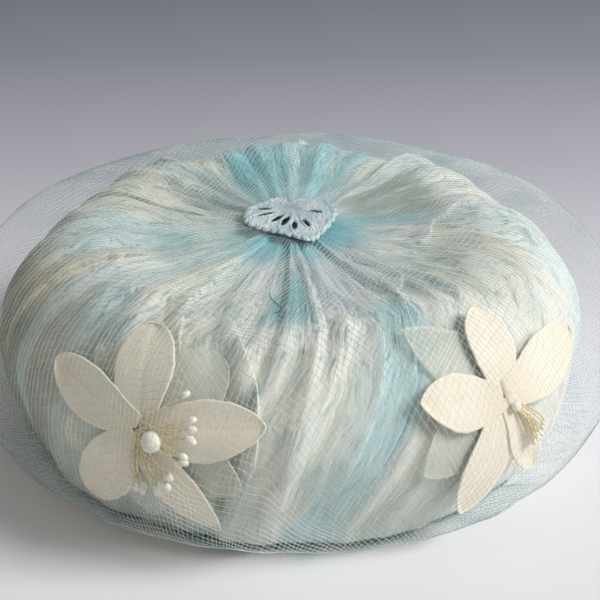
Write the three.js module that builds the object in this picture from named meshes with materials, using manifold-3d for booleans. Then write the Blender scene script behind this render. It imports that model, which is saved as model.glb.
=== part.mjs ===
// A draped pillbox hat: an ivory cloth crown with turquoise swathes, two cloth flowers,
// a lace motif on the centre of the top and a net veil over the whole.
// Millimetres, +Z up, the front towards -Y. The origin is the centre of the base.
// Azimuths are degrees from the front, growing towards +X. "along" is the share of the
// way from the centre of the top, over the shoulder and down the side, to the base rim.

import * as THREE from "three";
import { mergeVertices } from "three/addons/utils/BufferGeometryUtils.js";
import Module from "manifold-3d";

// Crown
const CROWN_RADIUS = 105; // widest part of the side
const CROWN_HEIGHT = 73.6; // from the base rim to the top of the shoulder
const RIM_RADIUS = 91; // the base edge that the hat stands on
const CLOTH_WALL = 1.0; // thinnest part of the crown, at the bottom of a fold
const FOLD_DEPTH = 2.0; // how far a fold sinks below the ridges beside it
const FOLD_COUNT = 20;
const FOLD_FRONT = 15; // azimuth of the folds that lean over most
// What makes the folds uneven: shifts of their place round the crown, and a change of their
// depth, each with its waves round the crown and where the waves start, in radians
const FOLD_SHIFTS = [
  { size: 0.9, waves: 3, start: 1 },
  { size: 0.6, waves: 5, start: 2 },
];
const FOLD_CHANGE = { size: 0.25, waves: 7, start: 0.5 };
const CLEARANCE = 0.3; // between any two pieces that lie on each other

// Swathes
const SWATHE_WALL = 1.0;
const SWATHE_RIDGE = 1.1; // height of the soft ridges along a swathe
const SWATHE_TUCK = 4; // how far a swathe's upper end runs in under the lace

// Flowers
const PETAL_LENGTH = 40; // of the longest petals, from the flower's centre
const PETAL_WIDTH = 20; // of the broadest petals
const STAMEN_LENGTH = 19;
const PETAL_WALL = 1.0;
const ORGANZA_WALL = 0.8;
const PETAL_LIFT = 1.5; // how far a petal's tip stands off more than its root
const ORGANZA_LIFT = 0.6; // the same for a sheer back petal
const PETAL_CUP = 0.8; // how far a petal's edges stand off more than its middle
const STRAND_RADIUS = 0.45;
const STRAND_UNEVEN = 0.1; // how far a strand's length differs from the others', as a share
const STRAND_RISE = { middle: 0.6, change: 0.5 }; // how far its middle bows out
const PIP_RADIUS = 1.3;
const BUD_RADIUS = 3.1;
const BUD_HEIGHT = 4.4;
const HEAD_RADIUS = 2.4;
const HEAD_HEIGHT = 1.6;

// Lace motif
const LACE_RADIUS = 16.5;
const LACE_WALL = 1.4;
const LACE_TURN = 22; // degrees that the point of the heart is turned to the right
const SLOT_WIDTH = 1.5;
const LACE_SCALLOPS = 14;
const SCALLOP_DEPTH = 0.6;
const NOTCH_DEPTH = 5.3; // between the two lobes of the heart
const NOTCH_WIDTH = 0.32; // radians from the notch's middle to where most of it has closed
const LACE_POINT = 0.08; // how much further the heart's point reaches, as a share of LACE_RADIUS
const SLOT_INNER = 0.3; // width of a slot's inner end, as a share of SLOT_WIDTH
const LACE_SLOTS = 7;
const SLOT_FAN = { from: 150, to: 345 }; // degrees: the slots fan out on the side away from the notch
const SLOT_HUB = 0.24; // where they start from, towards the notch, as a share of LACE_RADIUS
const SLOT_REACH = { start: 0.24, widest: 0.46, end: 0.58 }; // shares of LACE_RADIUS, from there

// Veil
const VEIL_WALL = 1.0;
const STRAND_WIDTH = 2.2;
const VEIL_SLACK = 0.4; // between the net and the tallest part of a flower
const VEIL_PUFF = 7; // how much further the net stands off at the two sides
const VEIL_COUNT = 30; // gaps in one row round the hat
const VEIL_TWIST = 12; // degrees that the net's long strands turn on their way down
const VEIL_EYE = 5; // radius of the net's gathered middle, which the lace covers
const HEM_LIFT = 0.8; // the hem's height over the surface that the hat stands on

// The crown's section from the centre to the widest part, as shares of its radius and height
const TOP_SECTION = [
  { radius: 0.0, height: 1.012 },
  { radius: 0.133, height: 1.006 },
  { radius: 0.286, height: 0.985 },
  { radius: 0.457, height: 0.981 },
  { radius: 0.571, height: 0.996 },
  { radius: 0.667, height: 1.0 },
  { radius: 0.752, height: 0.97 },
  { radius: 0.829, height: 0.91 },
  { radius: 0.898, height: 0.822 },
  { radius: 0.956, height: 0.707 },
  { radius: 0.99, height: 0.6 },
  { radius: 1.0, height: 0.503 },
];

// The rest of it down to the rim, as shares of the way out from the rim to the widest part
const SIDE_SECTION = [
  { out: 0.94, height: 0.367 },
  { out: 0.76, height: 0.204 },
  { out: 0.46, height: 0.082 },
  { out: 0.0, height: 0.0 },
];

// How deep the folds are on their way down, as shares of FOLD_DEPTH, and how far the folds
// of the front lean over to the left, as shares of FOLD_LEAN
const FOLD_LEAN = 26; // degrees
const FOLD_COURSE = [
  { along: 0.0, depth: 0.0, lean: 0.0 },
  { along: 0.1, depth: 0.35, lean: 0.0 },
  { along: 0.3, depth: 0.8, lean: 0.0 },
  { along: 0.45, depth: 1.0, lean: 0.05 },
  { along: 0.7, depth: 1.0, lean: 0.55 },
  { along: 0.9, depth: 0.8, lean: 1.0 },
  { along: 1.0, depth: 0.5, lean: 1.0 },
];

// The swathes: where each crosses the shoulder, how wide it is there, how far its lower end
// leans to one side, where it ends and how many ridges it has
const SWATHES = [
  { name: "swathe_back", azimuth: 180, width: 34, lean: 0, end: 0.955, ridges: 3 },
  { name: "swathe_back_right", azimuth: 137, width: 24, lean: 3, end: 0.955, ridges: 2 },
  { name: "swathe_right", azimuth: 98, width: 22, lean: 2, end: 0.955, ridges: 2 },
  { name: "swathe_front_right", azimuth: 42, width: 26, lean: -24, end: 0.955, ridges: 3 },
  { name: "swathe_front", azimuth: 3, width: 15, lean: -12, end: 0.955, ridges: 2 },
  { name: "swathe_front_left", azimuth: -46, width: 24, lean: 2, end: 0.955, ridges: 2 },
  { name: "swathe_left", azimuth: -88, width: 22, lean: 3, end: 0.955, ridges: 2 },
  { name: "swathe_back_left", azimuth: -137, width: 20, lean: 0, end: 0.955, ridges: 2 },
];

// The flowers: each petal's turn is in degrees from the right, anticlockwise as seen from
// outside, and its length and width are shares of the broadest petals' own. The stamens fan
// out between two turns, with the bud on a turn of its own.
const FLOWERS = [
  {
    name: "left",
    azimuth: -27,
    along: 0.688,
    petals: [
      { turn: 9, length: 1.0, width: 0.9 },
      { turn: 103, length: 0.77, width: 1.0 },
      { turn: 167, length: 0.94, width: 0.78 },
      { turn: 235, length: 0.86, width: 0.95 },
      { turn: 308, length: 1.0, width: 0.75 },
    ],
    organza: [
      { turn: 43, length: 0.94, width: 1.0 },
      { turn: 136, length: 0.75, width: 0.65 },
      { turn: 201, length: 0.8, width: 0.7 },
      { turn: 271, length: 0.75, width: 0.75 },
      { turn: 337, length: 0.9, width: 0.75 },
    ],
    fan: { from: -86, to: 45, length: 1.0, bud: -28 },
  },
  {
    name: "right",
    azimuth: 40.5,
    along: 0.673,
    petals: [
      { turn: 5, length: 1.04, width: 0.9 },
      { turn: 76, length: 0.7, width: 0.85 },
      { turn: 170, length: 0.77, width: 0.85 },
      { turn: 243, length: 1.0, width: 0.8 },
      { turn: 293, length: 0.8, width: 0.6 },
    ],
    organza: [
      { turn: 40, length: 0.7, width: 0.65 },
      { turn: 124, length: 0.85, width: 0.85 },
      { turn: 206, length: 0.85, width: 0.85 },
      { turn: 268, length: 0.75, width: 0.6 },
      { turn: 330, length: 0.75, width: 0.7 },
    ],
    fan: { from: -80, to: -20, length: 1.1, bud: 20 },
  },
];

// How wide a petal is on its way out, as shares of its width
const PETAL_OUTLINE = [
  { at: 0.0, width: 0.14 },
  { at: 0.15, width: 0.34 },
  { at: 0.35, width: 0.8 },
  { at: 0.55, width: 1.0 },
  { at: 0.75, width: 0.84 },
  { at: 0.9, width: 0.45 },
  { at: 1.0, width: 0.06 },
];

// How far the net stands off on its way down, as shares of how far it does so at that azimuth
const VEIL_COURSE = [
  { along: 0.0, out: 0.0 },
  { along: 0.12, out: 0.0 },
  { along: 0.3, out: 0.12 },
  { along: 0.45, out: 0.4 },
  { along: 0.58, out: 0.82 },
  { along: 0.72, out: 1.0 },
  { along: 0.84, out: 0.95 },
  { along: 0.93, out: 0.7 },
  { along: 1.0, out: 0.0 },
];
// Where the net's rings lie, as shares of the way from the lace's edge to the base
const VEIL_RINGS = [0.0, 0.247, 0.472, 0.697, 0.944];

// Numbers of facets
const CROWN_FACETS = 5 * FOLD_COUNT;
const LINING_FACETS = 36;
const STATIONS = 12; // steps from the centre to the rim, shared by what lies on the crown
const HOLLOW_ALONG = [0, 0.25, 0.42, 0.5, 0.58, 0.67, 0.75, 0.87, 1]; // closer at the shoulder
const PETAL_STEPS = 4;
const STRANDS = 8;
const LACE_CORNERS = 4 * LACE_SCALLOPS;

const wasm = await Module();
wasm.setup();

const radians = THREE.MathUtils.degToRad;
const lerp = THREE.MathUtils.lerp;

// The value of one column of a table between its rows
function readTable(table, key, column, at) {
  let row = 1;
  while (row < table.length - 1 && table[row][key] < at) {
    row += 1;
  }
  const low = table[row - 1];
  const high = table[row];
  const share = THREE.MathUtils.clamp((at - low[key]) / (high[key] - low[key]), 0, 1);
  return lerp(low[column], high[column], share);
}

const section = new THREE.SplineCurve([
  ...TOP_SECTION.map((row) => new THREE.Vector2(row.radius * CROWN_RADIUS, row.height * CROWN_HEIGHT)),
  ...SIDE_SECTION.map(
    (row) => new THREE.Vector2(lerp(RIM_RADIUS, CROWN_RADIUS, row.out), row.height * CROWN_HEIGHT),
  ),
]);
const SECTION_LENGTH = section.getLength();
const LACE_ALONG = LACE_RADIUS / SECTION_LENGTH;

// A point at a lift off the crown's ridges; outward only, where it mustn't go lower than the crown
function onCrown(azimuth, along, lift, outwardOnly = false) {
  const share = THREE.MathUtils.clamp(along, 0, 1);
  const point = section.getPointAt(share);
  const tangent = section.getTangentAt(share);
  const normal = new THREE.Vector2(-tangent.y, tangent.x);
  if (outwardOnly && normal.y < 0) {
    normal.set(1, 0);
  }
  const radius = Math.max(point.x + normal.x * lift, 0);
  const height = point.y + normal.y * lift;
  const angle = radians(azimuth);
  return new THREE.Vector3(radius * Math.sin(angle), -radius * Math.cos(angle), height);
}

// Turns a list of points and a list of corner triples into a geometry
function toGeometry(points, triangles) {
  const geometry = new THREE.BufferGeometry();
  const numbers = points.flatMap((point) => [point.x, point.y, point.z]);
  geometry.setAttribute("position", new THREE.Float32BufferAttribute(numbers, 3));
  geometry.setIndex(triangles.flat());
  return geometry;
}

// A closed sheet between an outer and an inner grid of points, rows by columns. A sheet that
// goes all round joins its last column to its first. Cells that isGap names are cut through.
function sheet(rows, columns, outer, inner, { round = false, isGap = () => false } = {}) {
  const points = [];
  for (const face of [outer, inner]) {
    for (let row = 0; row < rows; row += 1) {
      for (let column = 0; column < columns; column += 1) {
        points.push(face(row, column));
      }
    }
  }
  const wrap = (column) => (round ? (column + columns) % columns : column);
  const id = (face, row, column) => face * rows * columns + row * columns + wrap(column);
  const lastColumn = round ? columns : columns - 1;
  const filled = (row, column) => {
    const inside = row >= 0 && row < rows - 1 && (round || (column >= 0 && column < columns - 1));
    return inside && !isGap(row, wrap(column));
  };
  const triangles = [];
  const quad = (a, b, c, d) => triangles.push([a, b, c], [a, c, d]);
  for (let row = 0; row < rows - 1; row += 1) {
    for (let column = 0; column < lastColumn; column += 1) {
      if (!filled(row, column)) {
        continue;
      }
      const corners = (face) => [
        id(face, row, column),
        id(face, row + 1, column),
        id(face, row + 1, column + 1),
        id(face, row, column + 1),
      ];
      const [a, b, c, d] = corners(0);
      const [e, f, g, h] = corners(1);
      quad(a, b, c, d);
      triangles.push([e, g, f], [e, h, g]);
      if (!filled(row - 1, column)) quad(a, d, h, e);
      if (!filled(row + 1, column)) quad(c, b, f, g);
      if (!filled(row, column - 1)) quad(b, a, e, f);
      if (!filled(row, column + 1)) quad(d, c, g, h);
    }
  }
  return toGeometry(points, triangles);
}

// A solid that the boolean library takes, from a closed geometry
function toSolid(geometry) {
  const bare = geometry.clone();
  bare.deleteAttribute("normal");
  bare.deleteAttribute("uv");
  const merged = mergeVertices(bare, 1e-4);
  return new wasm.Manifold(
    new wasm.Mesh({
      numProp: 3,
      vertProperties: Float32Array.from(merged.getAttribute("position").array),
      triVerts: Uint32Array.from(merged.getIndex().array),
    }),
  );
}

function fromSolid(solid) {
  const mesh = solid.getMesh();
  const geometry = new THREE.BufferGeometry();
  geometry.setAttribute("position", new THREE.BufferAttribute(Float32Array.from(mesh.vertProperties), 3));
  geometry.setIndex(Array.from(mesh.triVerts));
  return geometry;
}

function finish(color, roughness) {
  return new THREE.MeshStandardMaterial({ color, roughness, metalness: 0 });
}

const ivoryCloth = () => finish(0xe9e6d4, 0.85);
const blueChiffon = () => finish(0x8fc9cd, 0.8);
const petalCloth = () => finish(0xf3f0e2, 0.7);
const organza = () => finish(0xd9e2d4, 0.5);
const goldThread = () => finish(0xd9b866, 0.5);
const blueLace = () => finish(0xa9cfd8, 0.85);
const blueNet = () => finish(0x6fb7bb, 0.7);

function piece(name, geometry, material) {
  const mesh = new THREE.Mesh(geometry, material);
  mesh.name = name;
  return mesh;
}

// How deep the crown's cloth lies below its ridges: uneven folds that start at the centre and,
// at the front, lean over to the left on their way down
function foldDepth(azimuth, along) {
  const depth = readTable(FOLD_COURSE, "along", "depth", along);
  const lean = FOLD_LEAN * readTable(FOLD_COURSE, "along", "lean", along);
  const frontness = Math.max(Math.cos(radians(azimuth - FOLD_FRONT)), 0) ** 2;
  const turned = radians(azimuth + lean * frontness);
  const swing = (row) => row.size * Math.sin(row.waves * turned + row.start);
  const shift = FOLD_SHIFTS.reduce((sum, row) => sum + swing(row), 0);
  const wave = (1 - Math.cos(FOLD_COUNT * turned + shift)) / 2;
  const strength = 1 - FOLD_CHANGE.size + swing(FOLD_CHANGE);
  return FOLD_DEPTH * depth * wave * strength;
}

// The crown: the draped outside, closed at the base, less a plain hollow for the head
function crown() {
  const points = [onCrown(0, 0, 0)];
  for (let station = 1; station <= STATIONS; station += 1) {
    const along = station / STATIONS;
    for (let facet = 0; facet < CROWN_FACETS; facet += 1) {
      const azimuth = (facet * 360) / CROWN_FACETS;
      const point = onCrown(azimuth, along, -foldDepth(azimuth, along), along === 1);
      points.push(point);
    }
  }
  points.push(new THREE.Vector3(0, 0, 0));
  const last = points.length - 1;
  const at = (station, facet) => 1 + (station - 1) * CROWN_FACETS + (facet % CROWN_FACETS);
  const triangles = [];
  for (let facet = 0; facet < CROWN_FACETS; facet += 1) {
    triangles.push([0, at(1, facet), at(1, facet + 1)]);
    for (let station = 1; station < STATIONS; station += 1) {
      triangles.push([at(station, facet), at(station + 1, facet), at(station + 1, facet + 1)]);
      triangles.push([at(station, facet), at(station + 1, facet + 1), at(station, facet + 1)]);
    }
    triangles.push([at(STATIONS, facet), last, at(STATIONS, facet + 1)]);
  }
  const outside = toSolid(toGeometry(points, triangles));

  const inset = CLOTH_WALL + FOLD_DEPTH;
  const profile = [];
  for (const along of HOLLOW_ALONG) {
    const point = onCrown(90, along, -inset, along === 1);
    profile.push(new THREE.Vector2(point.x, point.z));
  }
  const belowRim = -CROWN_HEIGHT;
  profile.push(new THREE.Vector2(RIM_RADIUS - inset, belowRim), new THREE.Vector2(0, belowRim));
  const hollow = new THREE.LatheGeometry(profile.reverse(), LINING_FACETS);
  hollow.rotateX(Math.PI / 2);
  return piece("crown", fromSolid(outside.subtract(toSolid(hollow))), ivoryCloth());
}

// One swathe: a strip from the lace to the base, narrow at the centre because it covers the
// same angle all the way, with soft ridges along it
function swathe(row) {
  const start = LACE_ALONG - SWATHE_TUCK / SECTION_LENGTH;
  const first = Math.floor(start * STATIONS) + 1;
  const alongs = [start];
  for (let station = first; station / STATIONS < row.end; station += 1) {
    alongs.push(station / STATIONS);
  }
  alongs.push(row.end);
  const columns = 2 * row.ridges;
  const place = (index, column, lift) => {
    const along = alongs[index];
    const across = column / columns;
    const lean = row.lean * readTable(FOLD_COURSE, "along", "lean", along);
    return onCrown(row.azimuth + lean + (across - 0.5) * row.width, along, lift, true);
  };
  const outer = (index, column) => {
    const height = readTable(FOLD_COURSE, "along", "depth", alongs[index]);
    const ridge = column % 2;
    return place(index, column, CLEARANCE + SWATHE_WALL + SWATHE_RIDGE * height * ridge);
  };
  const inner = (index, column) => place(index, column, CLEARANCE);
  const geometry = sheet(alongs.length, columns + 1, outer, inner);
  return piece(row.name, geometry, blueChiffon());
}

// A point beside a flower's centre, laid on the crown: right and up in millimetres
function besideFlower(flower, right, up, lift) {
  const along = flower.along - up / SECTION_LENGTH;
  const radius = section.getPointAt(THREE.MathUtils.clamp(along, 0, 1)).x;
  const azimuth = flower.azimuth + THREE.MathUtils.radToDeg(right / radius);
  return onCrown(azimuth, along, lift, true);
}

// One petal: a leaf-shaped sheet that lies along the crown, its tip and edges lifted a little
function petal(name, flower, row, { seat, wall, tipLift, cup, columns, material }) {
  const turn = radians(row.turn);
  const place = (step, column, rise) => {
    const share = step / PETAL_STEPS;
    const reach = lerp(HEAD_RADIUS + CLEARANCE, row.length * PETAL_LENGTH, share);
    const side = (2 * column) / columns - 1;
    const width = row.width * PETAL_WIDTH * readTable(PETAL_OUTLINE, "at", "width", share);
    const aside = (side * width) / 2;
    const right = reach * Math.cos(turn) - aside * Math.sin(turn);
    const up = reach * Math.sin(turn) + aside * Math.cos(turn);
    const lift = seat + tipLift * share ** 2 + cup * side ** 2 * share;
    return besideFlower(flower, right, up, lift + rise);
  };
  const outer = (step, column) => place(step, column, wall);
  const inner = (step, column) => place(step, column, 0);
  return piece(name, sheet(PETAL_STEPS + 1, columns + 1, outer, inner), material);
}

const SWATHE_TOP = CLEARANCE + SWATHE_WALL + SWATHE_RIDGE;
const ORGANZA_SEAT = SWATHE_TOP + 2 * CLEARANCE;
const PETAL_SEAT = ORGANZA_SEAT + ORGANZA_WALL + 2 * CLEARANCE;

const ORGANZA = {
  seat: ORGANZA_SEAT,
  wall: ORGANZA_WALL,
  tipLift: ORGANZA_LIFT,
  cup: 0,
  columns: 2,
  material: organza(),
};
const IVORY = {
  seat: PETAL_SEAT,
  wall: PETAL_WALL,
  tipLift: PETAL_LIFT,
  cup: PETAL_CUP,
  columns: 4,
  material: petalCloth(),
};
const HEAD_SEAT = PETAL_SEAT + PETAL_WALL + CLEARANCE + PETAL_CUP; // the middle of the head
const BUD_SEAT = HEAD_SEAT + (BUD_HEIGHT - HEAD_HEIGHT) / 2;
const FLOWER_TOP = BUD_SEAT + BUD_HEIGHT / 2;

// The bunch of stamens: strands with pips at their ends and one bud, joined to a small head
function stamens(flower) {
  const fan = flower.fan;
  const out = besideFlower(flower, 0, 0, 1).sub(besideFlower(flower, 0, 0, 0));
  const upright = new THREE.Quaternion().setFromUnitVectors(new THREE.Vector3(0, 0, 1), out.normalize());
  const set = (geometry, right, up, lift) => {
    geometry.applyQuaternion(upright);
    geometry.translate(...besideFlower(flower, right, up, lift).toArray());
    return toSolid(geometry);
  };
  const head = new THREE.SphereGeometry(1, 8, 6);
  head.rotateX(Math.PI / 2);
  head.scale(HEAD_RADIUS, HEAD_RADIUS, HEAD_HEIGHT);
  let bunch = set(head, 0, 0, HEAD_SEAT);
  const bud = new THREE.SphereGeometry(1, 8, 6);
  bud.rotateX(Math.PI / 2);
  bud.scale(BUD_RADIUS, BUD_RADIUS, BUD_HEIGHT / 2);
  const budReach = BUD_RADIUS + CLEARANCE;
  const budTurn = radians(fan.bud);
  bunch = bunch.add(set(bud, budReach * Math.cos(budTurn), budReach * Math.sin(budTurn), BUD_SEAT));
  const corners = [0, 1, 2, 3].map((corner) => radians(90 * corner));
  const thread = new THREE.Shape(
    corners.map((angle) => new THREE.Vector2(Math.cos(angle), Math.sin(angle)).multiplyScalar(STRAND_RADIUS)),
  );
  for (let strand = 0; strand < STRANDS; strand += 1) {
    const share = strand / (STRANDS - 1);
    const turn = radians(lerp(fan.from, fan.to, share));
    const length = fan.length * STAMEN_LENGTH * (1 - STRAND_UNEVEN + STRAND_UNEVEN * Math.cos(5 * strand));
    const rise = STRAND_RISE.middle + STRAND_RISE.change * Math.sin(3 * strand);
    const spots = [0, 0.5, 1].map((part) => {
      const reach = length * part;
      const lift = HEAD_SEAT + PIP_RADIUS * part + rise * Math.sin(Math.PI * part);
      return besideFlower(flower, reach * Math.cos(turn), reach * Math.sin(turn), lift);
    });
    const path = new THREE.CatmullRomCurve3(spots);
    const line = new THREE.ExtrudeGeometry(thread, { steps: 2, extrudePath: path });
    const pip = new THREE.IcosahedronGeometry(PIP_RADIUS, 0);
    pip.translate(...spots[2].toArray());
    bunch = bunch.add(toSolid(line)).add(toSolid(pip));
  }
  return piece(`${flower.name}_stamens`, fromSolid(bunch), goldThread());
}

const VEIL_SEAT = CLEARANCE + SWATHE_WALL + CLEARANCE;

// The lace motif: a scalloped heart lying flat on the centre, with slots that fan out from its point
function laceMotif() {
  const seat = onCrown(0, 0, 0).z + VEIL_SEAT + VEIL_WALL + CLEARANCE;
  const outline = [];
  for (let corner = 0; corner < LACE_CORNERS; corner += 1) {
    const angle = (2 * Math.PI * corner) / LACE_CORNERS;
    const notch = NOTCH_DEPTH * Math.exp(-(((angle - Math.PI / 2) / NOTCH_WIDTH) ** 2));
    const flank = LACE_POINT * LACE_RADIUS * Math.cos(angle - 1.5 * Math.PI);
    const scallop = SCALLOP_DEPTH * (1 - Math.abs(Math.sin((LACE_SCALLOPS * angle) / 2)));
    const reach = (1 - LACE_POINT) * LACE_RADIUS + flank - notch - scallop;
    outline.push(new THREE.Vector2(reach * Math.cos(angle), reach * Math.sin(angle)));
  }
  const shape = new THREE.Shape(outline);
  const hub = new THREE.Vector2(0, LACE_RADIUS * SLOT_HUB);
  for (let slot = 0; slot < LACE_SLOTS; slot += 1) {
    const angle = radians(lerp(SLOT_FAN.from, SLOT_FAN.to, slot / (LACE_SLOTS - 1)));
    const along = new THREE.Vector2(Math.cos(angle), Math.sin(angle));
    const across = new THREE.Vector2(-along.y, along.x).multiplyScalar(SLOT_WIDTH / 2);
    const spot = (reach, side) =>
      hub.clone().addScaledVector(along, LACE_RADIUS * reach).addScaledVector(across, side);
    const { start, widest, end } = SLOT_REACH;
    shape.holes.push(
      new THREE.Path([
        spot(start, SLOT_INNER),
        spot(widest, 1),
        spot(end, 0),
        spot(widest, -1),
        spot(start, -SLOT_INNER),
      ]),
    );
  }
  const geometry = new THREE.ExtrudeGeometry(shape, { depth: LACE_WALL, bevelEnabled: false });
  const mesh = piece("lace_motif", geometry, blueLace());
  mesh.rotation.z = radians(LACE_TURN);
  mesh.position.z = seat;
  return mesh;
}

// The veil: a net with rows of gaps, close under the lace and at the base and standing off
// between them, more at the sides than at the front and back
function veil() {
  const band = STRAND_WIDTH / SECTION_LENGTH;
  const rings = VEIL_RINGS.map((share) => lerp(LACE_ALONG, 1, share));
  const rows = [VEIL_EYE / SECTION_LENGTH];
  rings.forEach((from, ring) => {
    rows.push(from, from + band);
    if (ring > 0 && ring < rings.length - 1) {
      rows.push((from + band + rings[ring + 1]) / 2);
    }
  });
  rows.push(1);
  const columns = 2 * VEIL_COUNT;
  const place = (index, column, rise) => {
    const along = rows[index];
    const pitch = 360 / VEIL_COUNT;
    const radius = Math.max(section.getPointAt(along).x, LACE_RADIUS);
    const strand = Math.min(THREE.MathUtils.radToDeg(STRAND_WIDTH / radius), pitch / 2);
    const azimuth = Math.floor(column / 2) * pitch + (column % 2) * strand + VEIL_TWIST * along;
    const out = FLOWER_TOP + VEIL_SLACK + VEIL_PUFF * Math.sin(radians(azimuth)) ** 2;
    const seat = VEIL_SEAT + SWATHE_RIDGE * readTable(FOLD_COURSE, "along", "depth", along);
    const lift = seat + (out - seat) * readTable(VEIL_COURSE, "along", "out", along) + rise;
    const point = onCrown(azimuth, along, lift, true);
    point.z = Math.max(point.z, HEM_LIFT);
    return point;
  };
  const isGap = (row, column) => {
    const middle = (rows[row] + rows[row + 1]) / 2;
    const inRow = middle > rings[0] && middle < rings[rings.length - 1];
    const onBand = rings.some((from) => middle > from && middle < from + band);
    return inRow && !onBand && column % 2 === 1;
  };
  const outer = (index, column) => place(index, column, VEIL_WALL);
  const inner = (index, column) => place(index, column, 0);
  const geometry = sheet(rows.length, columns, outer, inner, { round: true, isGap });
  return piece("veil", geometry, blueNet());
}

const hat = new THREE.Group();
hat.name = "hat";
hat.add(crown());
for (const row of SWATHES) {
  hat.add(swathe(row));
}
for (const flower of FLOWERS) {
  flower.organza.forEach((row, index) => {
    const name = `${flower.name}_organza_${index + 1}`;
    hat.add(petal(name, flower, row, ORGANZA));
  });
  flower.petals.forEach((row, index) => {
    const name = `${flower.name}_petal_${index + 1}`;
    hat.add(petal(name, flower, row, IVORY));
  });
  hat.add(stamens(flower));
}
hat.add(laceMotif());
hat.add(veil());

export default hat;
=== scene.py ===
"""A draped pillbox hat: ivory and turquoise chiffon over a stiff form, two cloth flowers,
a lace motif on the centre of the top and a net veil over the whole.

Metres, +Z up, the front towards -Y. An azimuth is in degrees from the front, growing towards
+X, and "along" is the share of the way from the centre of the top, over the shoulder and down
the side, to the base rim."""

import bpy
import numpy as np
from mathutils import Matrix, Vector


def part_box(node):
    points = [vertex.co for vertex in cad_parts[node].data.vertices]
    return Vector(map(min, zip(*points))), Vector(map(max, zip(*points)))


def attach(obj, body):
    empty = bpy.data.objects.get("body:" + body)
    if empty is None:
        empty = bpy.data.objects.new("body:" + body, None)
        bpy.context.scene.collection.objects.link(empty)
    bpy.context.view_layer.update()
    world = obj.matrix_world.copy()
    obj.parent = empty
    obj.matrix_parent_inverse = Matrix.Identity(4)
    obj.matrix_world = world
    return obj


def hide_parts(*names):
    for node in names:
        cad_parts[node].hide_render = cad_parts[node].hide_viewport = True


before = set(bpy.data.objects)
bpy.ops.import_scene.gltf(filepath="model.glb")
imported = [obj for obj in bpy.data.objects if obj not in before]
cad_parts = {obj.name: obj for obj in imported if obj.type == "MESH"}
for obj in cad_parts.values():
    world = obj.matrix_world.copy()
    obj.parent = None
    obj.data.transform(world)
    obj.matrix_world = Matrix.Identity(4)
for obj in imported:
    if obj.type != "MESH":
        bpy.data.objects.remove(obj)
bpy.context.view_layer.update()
MM = 0.001

# The crown: a stiff pillbox form, lightly dished on top, covered with ivory chiffon that is
# pleated into the centre, drawn out over the padded shoulder and turned in under the base.
# Turquoise chiffon lies between its folds, so its colour changes from fold to fold; painted shade
# darkens the hollows between folds, the middle under the lace, the top and the side turned from the
# light.
_, crown_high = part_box("crown")
TOP_SECTION = np.array([
    # share of the widest radius, share of the shoulder's height
    (0.0, 1.012), (0.133, 1.006), (0.286, 0.985), (0.457, 0.981), (0.571, 0.996), (0.667, 1.0),
    (0.752, 0.97), (0.829, 0.91), (0.898, 0.822), (0.956, 0.707), (0.99, 0.6), (1.0, 0.503),
])
SIDE_SECTION = np.array([
    # share of the way out from the rim to the widest part, share of the shoulder's height
    (0.94, 0.367), (0.76, 0.204), (0.46, 0.082), (0.0, 0.0),
])
CROWN_RADIUS = crown_high.x
CROWN_HEIGHT = crown_high.z / TOP_SECTION[0, 1]
RIM_RADIUS = 91 / 105 * CROWN_RADIUS
SECTION_STEPS = 6000
CLOTH_WALL = 1.0 * MM
FOLD_DEPTH = 2.0 * MM
FOLD_COUNT = 20
FOLD_LEAN = 26  # degrees that the front's folds go round on their way down
FOLD_LEAN_MOST = 15  # the azimuth where they do so most
FOLD_SWAY = 5.0  # degrees that a fold wanders by where the cloth lies loose
LOOSE_FROM = (0.1, 0.24)  # along: where the loose cloth of the top begins, and is fully loose
LOOSE_TO = (0.45, 0.62)  # along: where it starts to be drawn tight over the shoulder, and is tight
CREASE_DEPTH = 0.22  # of the creases within a fold, as a share of the folds' depth
LOOSE_CREASE = 0.14  # what loose cloth adds to it
CRINKLE_DEPTH = 0.12
SWAY_WAVES = (16, 7, 13)  # how many waves round the hat and down it, and the seed of their heights
CREASE_WAVES = (66, 7, 11)
CRINKLE_WAVES = (136, 9, 12)
FOLD_COURSE = np.array([
    # along, share of the depth, share of the lean
    (0.0, 0.0, 0.0), (0.1, 0.35, 0.0), (0.3, 0.8, 0.0), (0.45, 1.0, 0.05),
    (0.7, 1.0, 0.55), (0.9, 0.8, 1.0), (1.0, 0.5, 1.0),
])
CROWN_ROWS = 165
CROWN_COLUMNS = 520
LINING_ROWS = 12


def spline(points, share):
    """Points on the Catmull-Rom curve through a list of points, at shares of its parameter: each
    span is the cubic that runs at its ends as the line between the two neighbours does."""
    last = len(points) - 1
    at = np.clip(share, 0, 1) * last
    span = np.minimum(at.astype(int), last - 1)
    t = (at - span)[..., None]
    before, start, end, after = (points[np.clip(span + step, 0, last)] for step in (-1, 0, 1, 2))
    leave, arrive = (end - before) / 2, (after - start) / 2
    return (
        (2 * start - 2 * end + leave + arrive) * t**3
        + (3 * end - 3 * start - 2 * leave - arrive) * t**2
        + leave * t
        + start
    )


side = np.stack([
    RIM_RADIUS + (CROWN_RADIUS - RIM_RADIUS) * SIDE_SECTION[:, 0],
    CROWN_HEIGHT * SIDE_SECTION[:, 1],
], -1)
section = np.concatenate([TOP_SECTION * (CROWN_RADIUS, CROWN_HEIGHT), side])
section = spline(section, np.linspace(0, 1, SECTION_STEPS))
section_way = np.concatenate([[0], np.cumsum(np.linalg.norm(np.diff(section, axis=0), axis=1))])
SECTION_LENGTH = section_way[-1]
section_way /= SECTION_LENGTH
section_run = np.gradient(section, axis=0)
section_run /= np.linalg.norm(section_run, axis=1)[:, None]


def smooth(low, high, value):
    """0 below low, 1 above high, and between them an S curve: three squares less two cubes."""
    share = np.clip((value - low) / (high - low), 0, 1)
    return share * share * (3 - 2 * share)


def radius_at(along):
    """The crown's radius at a share of the way down."""
    return np.interp(along, section_way, section[:, 0])


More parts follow.
